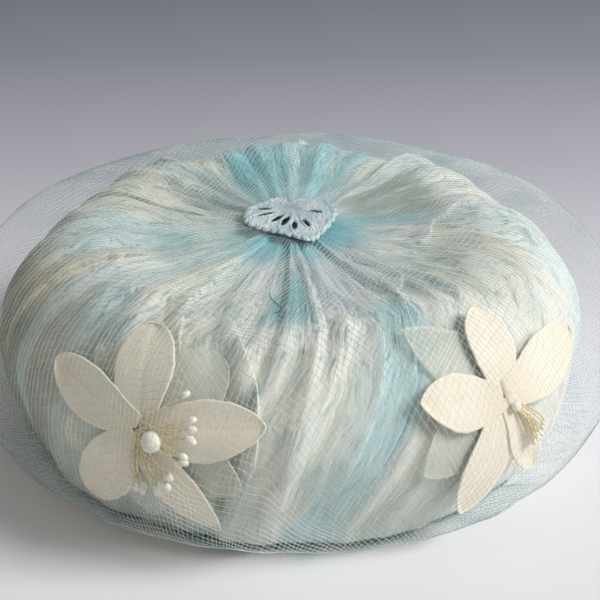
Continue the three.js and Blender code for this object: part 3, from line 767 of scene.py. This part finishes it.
def petal_points(flower, row, seat, tip_lift, cup, seed):
    """A leaf on a grid, by its share of the way out and its side from -1 to 1. Half its width
    swells from the root to the belly and closes as an ellipse at a round tip, or as a slope at
    a pointed one; its edges and tip stand off, and it is creased down the middle."""
    turn, length, width, point, bend = row
    share = np.sin(np.linspace(0.0, 1.0, PETAL_ROWS) * np.pi / 2)[:, None] ** 0.9
    side = np.linspace(-1, 1, PETAL_COLUMNS + 1)[None, :]
    belly = 0.56 - 0.04 * point
    swell = 0.46 + 0.54 * smooth(-0.08, belly, np.minimum(share, belly))
    past = np.clip((share - belly) / (1 - belly), 0, 1)
    closing = (1 - past ** (2 - 0.35 * point)) ** (0.5 + 0.32 * point)
    half = width * PETAL_WIDTH / 2 * swell * np.maximum(closing, 0.004)
    ragged = 1 + 0.025 * ripple(share * 360 + 40 * side, 0 * side, 17, 1, seed)
    aside = side * half * ragged + bend * PETAL_LENGTH * share**2
    reach = ROOT_REACH + (length * PETAL_LENGTH - ROOT_REACH) * share
    angle = np.radians(turn)
    right = reach * np.cos(angle) - aside * np.sin(angle)
    up = reach * np.sin(angle) + aside * np.cos(angle)
    crease = np.exp(-(side / 0.1) ** 2) * (1 - share) * share * 1.3
    warp = ripple(side * 80 + 100, share * 0.99, 9, 4, seed + 1) * share
    lift = seat + MM * (tip_lift * share**2 + cup * side**2 * share - 0.55 * crease + 0.3 * warp)
    aside, reach, share, side = np.broadcast_arrays(aside, reach, share, side)
    leaf = np.stack([aside, reach, share], -1)
    return beside_flower(flower, right, up, lift), leaf, np.abs(side)


def petal_look(wire):
    """Ivory cotton, plainly woven and starched: threads across and along each petal, the cut
    edge painted paler as a highlight, and painted shade in a warmer tone towards the root."""
    leaf = wire.kept("leaf")
    edge = wire.kept("edge", "Fac")
    way_out = wire.part(leaf, "Z")
    weft = wire.noise(wire.stretch(leaf, (0.1, 1, 0)), 2600, 1)
    warp = wire.noise(wire.stretch(leaf, (1, 0.1, 0)), 2600, 1)
    cloud = wire.noise(wire.place(), 90, 3)
    threads = weft * 0.5 + warp * 0.5
    base = wire.mix(cloud.step(0.35, 0.65) * 0.55, paint("eee6d3"), paint("f4efe2"))
    gaps = wire.mix(0.88, paint("c9bfa4"), base)
    woven = wire.mix(threads.step(0.35, 0.6), gaps, base)
    # painted shade: darker and warmer towards the root
    root_shaded = wire.mix((1 - way_out.step(0.0, 0.45)) * 0.35, woven, paint("cdbd97"))
    return {
        # painted highlight along the cut edge
        "Base Color": wire.mix(edge.step(0.86, 1.0) * 0.35, root_shaded, paint("fffdf6")),
        "Roughness": 0.75,
        "Normal": wire.bump(threads, 0.5, 0.3 * MM),
        "Sheen Weight": 0.15,
    }


def organza_look(wire):
    """Sheer organza, pale and slightly green over the cloth below, its cut edge brighter."""
    leaf = wire.kept("leaf")
    weft = wire.noise(wire.stretch(leaf, (0.02, 1, 0)), 1900, 1)
    warp = wire.noise(wire.stretch(leaf, (1, 0.02, 0)), 1900, 1)
    threads = weft * 0.7 + warp * 0.3
    rim = wire.kept("edge", "Fac").step(0.93, 1.0)
    color = wire.mix(threads.step(0.35, 0.65), paint("dfe4d8"), paint("f5f5ec"))
    return {
        "Base Color": wire.mix(rim, color, paint("fbfbf2")),
        "Roughness": 0.45,
        "Normal": wire.bump(threads, 0.4, 0.3 * MM),
        "Alpha": threads.step(0.3, 0.7) * 0.2 + 0.24 + rim * 0.3,
    }


petal_cloth = make_material("petal_cotton", petal_look)
organza = make_material("organza", organza_look)
LEAF_KINDS = [
    # kind, seat, how far its tip and its edges stand off in millimetres, cloth, material, slot
    ("organza", ORGANZA_SEAT, 0.6, 0.2, ORGANZA_CLOTH, organza, "organza"),
    ("petal", PETAL_SEAT, 1.5, 0.8, PETAL_CLOTH, petal_cloth, "petal_cloth"),
]
for flower in FLOWERS:
    for kind, seat, tip_lift, cup, cloth, material, slot in LEAF_KINDS:
        for number, row in enumerate(flower[kind], 1):
            node = f"{flower['name']}_{kind}_{number}"
            lift = seat + cloth + CLEARANCE * (number % 2)
            points, leaf, edge = petal_points(flower, row, lift, tip_lift, cup, 100 + number)
            faces = grid_faces(PETAL_ROWS, PETAL_COLUMNS + 1)
            petal = make_piece(node + "_leaf", points, faces, slot, material, leaf=leaf, edge=edge)
            wall = petal.modifiers.new("cloth", "SOLIDIFY")
            wall.thickness = cloth
            wall.offset = 0
            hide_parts(node)
            flat = (row[2] * PETAL_WIDTH, row[1] * PETAL_LENGTH)
            area = LEAF_FILL * flat[0] * flat[1]

# The stamens: golden cotton threads that fan out from the middle of each flower to small pearly
# pips, beside one larger bud. They are sewn down with the petals, through the flower's middle.
THREAD_RADIUS = 0.29 * MM
THREAD_SIDES = 6
STAMEN_STEPS = 16
STAMEN_SPREAD = 2.5  # degrees that a thread turns to either side of its place in the fan
STAMEN_CURL = 0.12  # radians that its end curls aside
STAMEN_ARCH = (0.2, 1.2)  # the least and the most that its middle rises, in millimetres
SHORTEST = 0.84  # the shortest thread's length, of the longest's
PIP_STRETCH = 0.5  # how much longer a pip is than wide
BUD_STRETCH = -0.2


def tubes(paths, radius, sides, up):
    """Tubes round many paths at once, an array of threads by steps: a ring at each step stands
    across the path, turned from a direction that points up, and a flat cap closes each end. It
    gives the points and the lists of faces."""
    ahead = np.gradient(paths, axis=1)
    across = np.cross(ahead, up)
    across /= np.linalg.norm(across, axis=-1)[..., None]
    over = np.cross(across, ahead)
    over /= np.linalg.norm(over, axis=-1)[..., None]
    angle = np.arange(sides) * 2 * np.pi / sides
    circle = np.cos(angle)[:, None] * across[:, :, None] + np.sin(angle)[:, None] * over[:, :, None]
    points = paths[:, :, None] + circle * radius
    threads, steps = paths.shape[:2]
    faces = grid_faces(steps, sides, closed=True)
    firsts = (np.arange(threads) * steps * sides)[:, None, None]
    ends = np.stack([np.arange(sides), (steps - 1) * sides + np.arange(sides)[::-1]])
    return points.reshape(-1, 3), [(faces + firsts).reshape(-1, 4), (ends + firsts).reshape(-1, sides)]


def balls(middles, radius, ahead, stretch, rows=8, columns=12):
    """Balls at many places at once, rings between two poles, each closed by a fan of triangles;
    each point moves along its ball's own direction by a share of how far it lies that way."""
    count = len(middles)
    polar = np.linspace(0, np.pi, rows + 1)[1:-1, None]
    angle = np.arange(columns) * 2 * np.pi / columns
    ring = np.stack(np.broadcast_arrays(
        np.sin(polar) * np.cos(angle), np.sin(polar) * np.sin(angle), np.cos(polar)
    ), -1).reshape(-1, 3)
    shape = np.concatenate([ring, [[0, 0, 1], [0, 0, -1]]])
    along_way = (shape[None] * ahead[:, None]).sum(-1, keepdims=True) * ahead[:, None]
    points = middles[:, None] + radius * (shape + stretch * along_way)
    firsts = (np.arange(count) * len(shape))[:, None, None]
    column = np.arange(columns)
    beyond = np.roll(column, -1)
    low = (rows - 2) * columns
    upper_fan = fan(len(ring), column, beyond)
    fans = np.concatenate([upper_fan, fan(len(ring) + 1, low + beyond, low + column)])
    sides = grid_faces(rows - 1, columns, closed=True)
    return points.reshape(-1, 3), [(sides + firsts).reshape(-1, 4), (fans + firsts).reshape(-1, 3)]


def join(*parts):
    """One set of points and lists of faces from several."""
    starts = np.cumsum([0] + [len(points) for points, _ in parts])
    faces = [face + start for (_, lists), start in zip(parts, starts) for face in lists]
    return np.concatenate([points for points, _ in parts]), faces


def thread_look(wire):
    """Gilt cotton thread: yellow with browner turns."""
    turns = wire.noise(wire.place(), 1500)
    color = wire.mix(turns.step(0.35, 0.65), paint("cbb47e"), paint("f5eac6"))
    return {"Base Color": color, "Roughness": 0.5, "Normal": wire.bump(turns, 0.4, 0.2 * MM)}


def pip_look(wire):
    """Dipped pips: pearly white, with a soft lustre and faint dimples."""
    dimples = wire.noise(wire.place(), 700)
    return {
        "Base Color": wire.mix(dimples.step(0.3, 0.7), paint("e9e2cf"), paint("fbf9f0")),
        "Roughness": 0.32,
        "Normal": wire.bump(dimples, 0.25, 0.4 * MM),
        "Coat Weight": 0.3,
    }


gold_thread = make_material("gilt_thread", thread_look)
pearly_pip = make_material("pearly_pip", pip_look)
PETAL_STACK = 1.0 * MM  # how thick the petals are where they lie over each other in the middle
BUNCH_LIFT = 0.8 * MM  # how far over them the threads start
HEAD_SEAT = PETAL_SEAT + PETAL_STACK + CLEARANCE + BUNCH_LIFT
TIP_LIFT = 2.0 * MM  # how much higher the threads end
for number, flower in enumerate(FLOWERS):
    chance = np.random.default_rng(200 + number)
    turn = np.concatenate([np.linspace(*spread) for spread in flower["fans"]])
    count = len(turn)
    turn = np.radians(turn + chance.uniform(-STAMEN_SPREAD, STAMEN_SPREAD, count))[:, None]
    near, far = (reach * MM for reach in flower["span"])
    length = near + (far - near) * chance.uniform(SHORTEST, 1.0, count)[:, None]
    rise = chance.uniform(*STAMEN_ARCH, count)[:, None] * MM
    curl = chance.uniform(-STAMEN_CURL, STAMEN_CURL, count)[:, None]
    part = np.linspace(0, 1, STAMEN_STEPS)[None, :]
    swing = turn + curl * part**2
    reach = near + (length - near) * part
    lift = HEAD_SEAT + TIP_LIFT * part + rise * np.sin(np.pi * part)
    paths = beside_flower(flower, reach * np.cos(swing), reach * np.sin(swing), lift)
    upward = crown_normal(flower["azimuth"], flower["along"])
    threads = tubes(paths, THREAD_RADIUS, THREAD_SIDES, upward)
    bunch = make_piece(flower["name"] + "_stamen_threads", *threads, "gold_thread", gold_thread)
    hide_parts(flower["name"] + "_stamens")
    ahead = paths[:, -1] - paths[:, -2]
    ahead /= np.linalg.norm(ahead, axis=-1)[:, None]
    pips = balls(paths[:, -1], flower["pip"] * MM, ahead, PIP_STRETCH)
    bud_turn, bud_reach, bud_radius = np.array(flower["bud"]) * (np.pi / 180, MM, MM)
    bud_aside = bud_reach * np.array([[np.cos(bud_turn)], [np.sin(bud_turn)]])
    bud_place = beside_flower(flower, *bud_aside, np.array([HEAD_SEAT + 0.5 * bud_radius]))
    bud = balls(bud_place, bud_radius, upward[None], BUD_STRETCH, 16, 24)
    make_piece(flower["name"] + "_stamen_pips", *join(pips, bud), "petal_cloth", pearly_pip)

# The veil: a square-meshed net of fine blue thread, one large round of it, gathered under the
# lace and at the base and standing off the flowers and the sides between them.
NET_PITCH = 2.2 * MM
NET_RADIUS = 185 * MM
NET_EYE = 20 * MM  # the radius of its middle, which the lace covers
NET_CROWD = 0.75  # it crowds towards the lace: its own radius grows as along to this power
NET_THREAD = 0.122 * MM
NET_SIDES = 3
NET_TURN = -28
NET_WAVES = [
    # how far the threads wander, at how many places across the net, and the seed
    (0.8 * MM, 60, 311), (2.6 * MM, 18, 313),
]
VEIL_SLACK = 0.4 * MM
VEIL_PUFF = 7 * MM
BACK_FALL = 3.5 * MM  # how much closer the net lies behind, where it covers no flower
FLOWER_TOP = 10.1 * MM
HEM_LIFT = 0.8 * MM
VEIL_SEAT = CLEARANCE + SWATHE_WALL + CLEARANCE
VEIL_REST = 0.5 * MM  # how far off the cloth it lies at the least
VEIL_COURSE = np.array([
    # along, share of how far the net stands off at that azimuth
    (0.0, 0.0), (0.12, 0.0), (0.2, 0.12), (0.3, 0.2), (0.45, 0.4), (0.58, 0.8), (0.72, 1.0),
    (0.84, 0.95), (0.93, 0.7), (1.0, 0.0),
])
TACK = (-12.5, 0.47)  # azimuth and along of the stitch that holds the net to the cloth
TACK_DIP = 9 * MM  # how far from it the net is drawn down
TACK_PULL = 12 * MM  # how far from it the net is drawn in, and by what share of the way
TACK_SHARE = 0.5
NET_TOP_SHADE = (66 * MM, 75 * MM)  # the heights between which the side's painted light turns into the painted shade of the top
LOOSE_NET = (8 * MM, 15 * MM)  # the lifts off the crown between which it turns more sheer
VEIL_STEPS = 40


def from_tack(azimuth, along):
    """How far a place is from the tack, round the hat and down it, in metres."""
    aside = np.radians(turn_from(azimuth, TACK[0])) * radius_at(along)
    return aside, (along - TACK[1]) * SECTION_LENGTH


def veil_lift(azimuth, along):
    """How far the net stands off: its course down the hat, with soft gathers that deepen
    towards the base, and drawn down round the one stitch that tacks it to the cloth."""
    puff = VEIL_PUFF * np.sin(np.radians(azimuth)) ** 2 * (1 + 0.3 * ripple(azimuth, along, 17, 2, 303))
    behind = smooth(0.2, 0.9, -np.cos(np.radians(azimuth)))
    out = FLOWER_TOP + VEIL_SLACK + puff - BACK_FALL * behind
    seat = VEIL_SEAT + SWATHE_RIDGE * fold_share(along) + VEIL_REST
    lift = seat + (out - seat) * np.interp(along, VEIL_COURSE[:, 0], VEIL_COURSE[:, 1])
    gather = smooth(0.55, 1.0, along) * 0.9 + (1 - smooth(0.1, 0.35, along)) * 0.35
    lift = lift + MM * gather * ripple(azimuth, along, 64, 3, 301)
    lift = lift + 0.7 * MM * ripple(azimuth, along, 23, 6, 302)
    away = np.hypot(*from_tack(azimuth, along))
    return lift - (lift - seat) * np.exp(-(away / TACK_DIP) ** 2)


def net_look(wire):
    """Fine sheer thread, its dye a little uneven, painted greyer on the top as shade and paler on
    the side as light; more light comes through it where it stands off the cloth."""
    place = wire.place()
    # painted shade on the top, painted light on the side
    upper = wire.part(place, "Z").step(*NET_TOP_SHADE)
    standing = wire.kept("away", "Fac").step(*LOOSE_NET)
    dye = wire.noise(place, 60)
    side = wire.mix(dye.step(0.35, 0.65), paint("b9d5d6"), paint("e9f3f0"))
    top = wire.mix(dye.step(0.35, 0.65), paint("b4cfd2"), paint("e2edec"))
    return {
        "Base Color": wire.mix(upper, side, top),
        "Roughness": 0.6,
        "Alpha": 0.46 - standing * 0.33,
    }


blue_net = make_material("blue_net", net_look)
offsets = np.arange(-NET_RADIUS + NET_PITCH / 2, NET_RADIUS, NET_PITCH)
offsets = offsets[np.abs(offsets) < 0.995 * NET_RADIUS]
inner = np.sqrt(np.maximum(NET_EYE**2 - offsets**2, 0))
outer = np.sqrt(NET_RADIUS**2 - offsets**2)
family, half, thread, step = np.meshgrid(
    [0, 1], [-1, 1], np.arange(len(offsets)), np.linspace(0, 1, VEIL_STEPS), indexing="ij"
)
run = half * (inner[thread] + (outer - inner)[thread] * step)
offset = offsets[thread]
net_x = np.where(family == 0, run, offset)
net_y = np.where(family == 0, offset, run)
wave_turn, wave_along = net_x / NET_RADIUS * 180 + 180, net_y / NET_RADIUS / 2 + 0.5
for wander, places, seed in NET_WAVES:
    net_x = net_x + wander * ripple(wave_turn, wave_along, places, places, seed)
    net_y = net_y + wander * ripple(wave_turn, wave_along, places, places, seed + 1)
azimuth = (np.degrees(np.arctan2(net_x, -net_y)) + NET_TURN).reshape(-1, VEIL_STEPS)
net_share = np.minimum(np.hypot(net_x, net_y) / NET_RADIUS, 1)
along = (net_share ** (1 / NET_CROWD)).reshape(-1, VEIL_STEPS)
aside, below = from_tack(azimuth, along)
drawn = TACK_SHARE * np.exp(-(np.hypot(aside, below) / TACK_PULL) ** 2)
azimuth = azimuth - np.degrees(drawn * aside / radius_at(along))
along = along - drawn * below / SECTION_LENGTH
lift = veil_lift(azimuth, along)
paths = on_crown(azimuth, along, lift)
paths[..., 2] = np.maximum(paths[..., 2], HEM_LIFT)
veil = make_piece(
    "veil_net", *tubes(paths, NET_THREAD, NET_SIDES, crown_normal(azimuth, along)),
    "blue_net", blue_net, away=np.repeat(lift.ravel(), NET_SIDES),
)
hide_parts("veil")
veil.visible_shadow = False  # the real thread is half as thick as this one and shades nothing

# The hem: the net's gathered edge, run in along the base of the crown as a few strands of its
# thread that are twisted round each other and lie on the ground just outside the rim.
HEM_STRANDS = 4
HEM_STEPS = 420
HEM_SIDES = 5
HEM_RADIUS = 0.22 * MM
HEM_TWIST = 0.9 * MM  # the radius that the strands are twisted on
HEM_TURNS = 31
HEM_HEIGHT = 2.0 * MM
HEM_OUT = 2.0 * MM  # from the rim to the middle of the twist


def hem_look(wire):
    """The net's thread where it is bunched: darker and greener, with paler turns."""
    turns = wire.noise(wire.place(), 420)
    color = wire.mix(turns.step(0.4, 0.62), paint("6f9792"), paint("b3cec9"))
    return {"Base Color": color, "Roughness": 0.7, "Normal": wire.bump(turns, 0.5, 0.5 * MM)}


strand = np.arange(HEM_STRANDS)[:, None]
azimuth = np.linspace(0, 360, HEM_STEPS, endpoint=False)[None, :] + 0 * strand
twist = np.radians(azimuth * HEM_TURNS) + strand * 2 * np.pi / HEM_STRANDS
shift = HEM_TWIST * np.cos(twist) + 0.4 * MM * ripple(azimuth, 0 * azimuth, 90, 1, 401)
rise = HEM_TWIST * np.sin(twist) + 0.5 * MM * ripple(azimuth, 0 * azimuth, 50, 1, 402)
paths = about_axis(azimuth, RIM_RADIUS + HEM_OUT + shift, HEM_HEIGHT + rise)
# each strand is made a step too long at both ends, so that its first and its last ring stand as
# their neighbours do, and is then closed on itself
past_ends = np.concatenate([paths[:, -1:], paths, paths[:, :1]], 1)
hem_points, _ = tubes(past_ends, HEM_RADIUS, HEM_SIDES, np.array([0, 0, 1.0]))
hem_points = hem_points.reshape(HEM_STRANDS, HEM_STEPS + 2, HEM_SIDES, 3)[:, 1:-1]
one = grid_faces(HEM_STEPS + 1, HEM_SIDES, closed=True) % (HEM_STEPS * HEM_SIDES)
hem_faces = (one + (strand * HEM_STEPS * HEM_SIDES)[:, :, None]).reshape(-1, 4)
bunched_net = make_material("bunched_net", hem_look)
make_piece("veil_hem", hem_points, hem_faces, "blue_net", bunched_net)

# The lace motif: a lopsided heart of pale blue guipure lace, worked in close stitches, with
# narrow slots that fan out below its notch. It lies on the gathered middle of the veil.
LACE_EDGE = np.array([
    # right and back from the hat's axis, in millimetres: round the heart from its left end
    (-17.8, 2.6), (-16.2, 9.0), (-11.5, 13.0), (-6.5, 17.5), (-3.0, 18.4), (0.3, 15.0), (4.2, 17.8),
    (9.5, 18.0), (14.0, 14.0), (16.4, 6.4), (14.4, -3.5), (10.3, -13.0), (6.4, -17.6), (0.0, -14.4),
    (-5.5, -11.6), (-11.0, -8.8), (-16.2, -4.2), (-17.8, 2.6),
])
LACE_HUB = np.array([1.0, 7.0])  # where the slots point to
LACE_SLOTS = np.array([
    # the middle of each slot, right and back in millimetres, its length and its width
    (-10.4, 7.6, 6.0, 2.2), (-9.7, 2.8, 6.4, 2.3), (-5.3, -1.0, 6.6, 2.1), (-2.3, -3.0, 7.6, 2.2),
    (0.9, -6.4, 6.4, 1.9), (5.1, -4.6, 6.4, 1.7), (8.2, 5.2, 5.6, 1.9),
])
LACE_PICOTS = 34
PICOT_SIZE = 0.045  # as a share of the edge's distance from the hub
LACE_ROWS = 44
LACE_COLUMNS = 440
LACE_CORD = 0.9 * MM
LACE_SEAT = 1.6 * MM  # of its upper side, over the gathered net
LACE_DROOP = 0.6  # how much lower its furthest edge lies, in millimetres
LACE_FILL = 0.7  # share of its length times its width that its outline fills
STITCH_TURN = 0.18 * MM  # how far the stitches' pattern runs on for each degree round the hub
STITCH_REACH = 16.5 * MM  # and on the way out from it
way = np.arange(LACE_COLUMNS) / LACE_COLUMNS
edge = spline(LACE_EDGE, way)
from_hub = edge - LACE_HUB
from_hub *= (1 + PICOT_SIZE * (np.abs(np.sin(np.pi * LACE_PICOTS * way)) - 0.5))[:, None]
share = np.linspace(0.02, 1, LACE_ROWS)[::-1, None]
flat = LACE_HUB + from_hub[None] * share[..., None]
bearing = np.degrees(np.arctan2(from_hub[:, 1], from_hub[:, 0]))


def slot_depth(places):
    """How far inside its nearest slot each place is: 1 at the slot's middle and 0 at its edge,
    an ellipse that points at the hub, and below 0 outside."""
    depth = np.full(places.shape[:-1], -9.0)
    for x, y, length, width in LACE_SLOTS:
        ahead = np.array([x, y]) - LACE_HUB
        ahead /= np.linalg.norm(ahead)
        away = places - (x, y)
        down, across = away @ ahead, away @ np.array([-ahead[1], ahead[0]])
        depth = np.maximum(depth, 1 - np.hypot(down / (length / 2), across / (width / 2)))
    return depth


cord = np.exp(-((slot_depth(flat) + 0.55) / 0.4) ** 2)
lumps = ripple(bearing[None] + 180, share, 58, 11, 501) * smooth(0.1, 0.6, share)
rim = smooth(0.84, 0.9, share) * (1 - smooth(0.95, 1.0, share))
heart = 1 - smooth(0.1, 0.4, share)
lift = 0.45 + 0.35 * cord + 0.3 * rim + 0.35 * heart + 0.2 * lumps - 0.3 * smooth(0.95, 1, share)
lace_height = crown_high.z + VEIL_SEAT + LACE_SEAT
droop = LACE_DROOP * (np.linalg.norm(flat, axis=-1) / LACE_EDGE.max()) ** 2
lace_points = np.concatenate([flat * MM, (lace_height + MM * (lift - droop))[..., None]], -1)
faces = grid_faces(LACE_ROWS, LACE_COLUMNS, closed=True).reshape(LACE_ROWS - 1, LACE_COLUMNS, 4)
middles = (flat[:-1] + flat[1:]) / 2
middles = (middles + np.roll(middles, -1, 1)) / 2
closing = faces[slot_depth(middles) < 0]
last_ring = (LACE_ROWS - 1) * LACE_COLUMNS + np.arange(LACE_COLUMNS)
hub_point = lace_points[-1].mean(0)
hub_faces = fan(LACE_ROWS * LACE_COLUMNS, np.roll(last_ring, -1), last_ring)


def lace_look(wire):
    """Thick cotton lace: close satin stitches across its bars and round its edge."""
    rows = wire.noise(wire.kept("stitch"), 1700)
    cloud = wire.noise(wire.place(), 150)
    knots = wire.noise(wire.place(), 900)
    base = wire.mix(cloud.step(0.3, 0.7), paint("bddbe3"), paint("e8f3f6"))
    return {
        "Base Color": wire.mix((1 - rows.step(0.36, 0.6)) * 0.5, base, paint("7faab5")),
        "Roughness": 0.8,
        "Normal": wire.bump(rows + knots, 1.0, 0.7 * MM),
        "Sheen Weight": 0.2,
    }


stitch = np.stack(np.broadcast_arrays(0, bearing[None] * STITCH_TURN, share * STITCH_REACH), -1)
lace = make_piece(
    "lace_heart", np.concatenate([lace_points.reshape(-1, 3), [hub_point]]), [closing, hub_faces],
    "blue_lace", make_material("guipure_lace", lace_look),
    stitch=np.concatenate([stitch.reshape(-1, 3), [[0, 0, 0]]]),
)
wall = lace.modifiers.new("cord", "SOLIDIFY")
wall.thickness = LACE_CORD
wall.offset = -1
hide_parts("lace_motif")
LACE_CUT = np.ptp(LACE_EDGE, axis=0) * MM
LACE_AREA = LACE_FILL * LACE_CUT.prod()

# The stitches: dark grey sewing thread that shows along the lace's front edge and in the middle
# of the left flower, and one loose end of it that lies on the net between them.
STITCH_RADIUS = 0.2 * MM
STITCH_STEPS = 7
STITCH_SIDES = 5
EDGE_STITCHES = 12
EDGE_SPAN = (11.8, 14.4)  # from which point of the lace's outline to which they run
EDGE_OUT = 1.02  # how far out they lie, as a share of the outline's distance from the axis
EDGE_DROP = 0.7 * MM  # how far they lie below the lace's height
KNOT_TURNS = np.radians([35, 62, 15])
KNOT_SIZE = (1.3 * MM, 1.1 * MM)  # half the length and half the width that the knot covers
TAIL_RADIUS = 0.15 * MM
TAIL_STEPS = 24
LOOSE_END = np.array([
    # azimuth and along of the thread's end that lies on the net
    (-7.0, 0.366), (-6.2, 0.392), (-4.4, 0.412), (-2.9, 0.427), (-3.0, 0.436), (-4.2, 0.441),
])


def stitches(starts, ends, up, rise):
    """Short stitches between pairs of points: straight runs that rise in the middle as a half
    sine, as tubes."""
    part = np.linspace(0, 1, STITCH_STEPS)[:, None]
    runs = starts[:, None] * (1 - part) + ends[:, None] * part + rise * np.sin(np.pi * part) * up
    return tubes(runs, STITCH_RADIUS, STITCH_SIDES, up)


edge_share = np.linspace(*EDGE_SPAN, EDGE_STITCHES + 1) / (len(LACE_EDGE) - 1)
front_edge = spline(LACE_EDGE, edge_share) * MM * EDGE_OUT
front_edge = np.pad(front_edge, ((0, 0), (0, 1)), constant_values=lace_height - EDGE_DROP)
edge_row = stitches(front_edge[:-1], front_edge[1:], np.array([0.0, -0.5, 0.8]), 0.1 * MM)

tail = spline(LOOSE_END, np.linspace(0, 1, TAIL_STEPS))
tail_lift = veil_lift(tail[:, 0], tail[:, 1]) + 2 * NET_THREAD + TAIL_RADIUS
tail_path = on_crown(tail[:, 0], tail[:, 1], tail_lift)[None]
loose_thread = tubes(tail_path, TAIL_RADIUS, STITCH_SIDES, crown_normal(*LOOSE_END[0]))

sewn = FLOWERS[0]
knot_x, knot_y = KNOT_SIZE[0] * np.cos(KNOT_TURNS), KNOT_SIZE[1] * np.sin(KNOT_TURNS)
knot_ends = [beside_flower(sewn, side * knot_x, side * knot_y, HEAD_SEAT) for side in (-1, 1)]
knot = stitches(*knot_ends, crown_normal(sewn["azimuth"], sewn["along"]), 0.5 * MM)


def sewing_look(wire):
    """Dark sewing cotton, twisted."""
    twist = wire.noise(wire.place(), 1800, 1)
    color = wire.mix(twist.step(0.35, 0.65), paint("2c3538"), paint("55646a"))
    return {"Base Color": color, "Roughness": 0.7}


sewing_cotton = make_material("sewing_cotton", sewing_look)
sewing = join(edge_row, loose_thread, knot)
make_piece("sewing_stitches", *sewing, "blue_lace", sewing_cotton)

# The floor and the light: a pale sheet with painted shade that darkens it towards the back,
# one large soft light from the right and a weak even fill, and the camera in front, looking
# down on the top.
FLOOR_FRONT = -0.25  # where its front tone ends, in metres, and how far on its back tone starts
FLOOR_FADE = 0.85
floor_mesh = bpy.data.meshes.new("floor")
floor_mesh.from_pydata([(-4, -3, 0), (4, -3, 0), (4, 5, 0), (-4, 5, 0)], [], [(0, 1, 2, 3)])
floor = bpy.data.objects.new("floor", floor_mesh)
bpy.context.scene.collection.objects.link(floor)


def floor_look(wire):
    """Pale paper, white in front and painted greyer towards the back, as shade."""
    depth = (wire.part(wire.place(), "Y") - FLOOR_FRONT) * (1 / FLOOR_FADE)
    stops = [
        (0.0, paint("f2f1f3")), (0.36, paint("ececf2")), (0.56, paint("bdbeca")),
        (0.74, paint("9498a4")), (1.0, paint("696e7b")),
    ]
    # painted shade: the floor darker towards the back
    shade = wire.node("ShaderNodeValToRGB", {"stops": stops}, {"Fac": depth}, "Color")
    return {"Base Color": shade, "Roughness": 0.7}


floor_mesh.materials.append(make_material("pale_floor", floor_look))


def add_light(name, place, target, side, power, color):
    """A square area light at a place, aimed at a target."""
    light = bpy.data.lights.new(name, "AREA")
    light.shape = "SQUARE"
    light.size = side
    light.energy = power
    light.color = color
    lamp = bpy.data.objects.new(name, light)
    lamp.location = place
    lamp.rotation_euler = (Vector(target) - Vector(place)).to_track_quat("-Z", "Y").to_euler()
    bpy.context.scene.collection.objects.link(lamp)


add_light("key", (2.05, -0.38, 1.79), (0, 0, 0.03), 1.15, 66, (1.0, 0.985, 0.98))
add_light("fill", (-0.35, -0.8, 0.8), (0, 0, 0.03), 0.9, 0.8, (1.0, 0.88, 0.72))
world = bpy.data.worlds.new("studio")
world.use_nodes = True
background = world.node_tree.nodes["Background"]
background.inputs["Color"].default_value = (1.0, 0.97, 0.93, 1)
background.inputs["Strength"].default_value = 0.25
bpy.context.scene.world = world
bpy.context.scene.view_settings.view_transform = "Standard"

EYE = Vector((0, -0.569, 0.3487))
AIM = Vector((0, 0, 0.040))
LENS = 105.1
SHIFT = (0.0135, 0.0172)  # keeps the hat where it is in the picture
camera = bpy.data.objects.new("camera", bpy.data.cameras.new("camera"))
camera.data.lens = LENS
camera.data.shift_x, camera.data.shift_y = SHIFT
camera.location = EYE
camera.rotation_euler = (AIM - EYE).to_track_quat("-Z", "Y").to_euler()
bpy.context.scene.collection.objects.link(camera)
bpy.context.scene.camera = camera
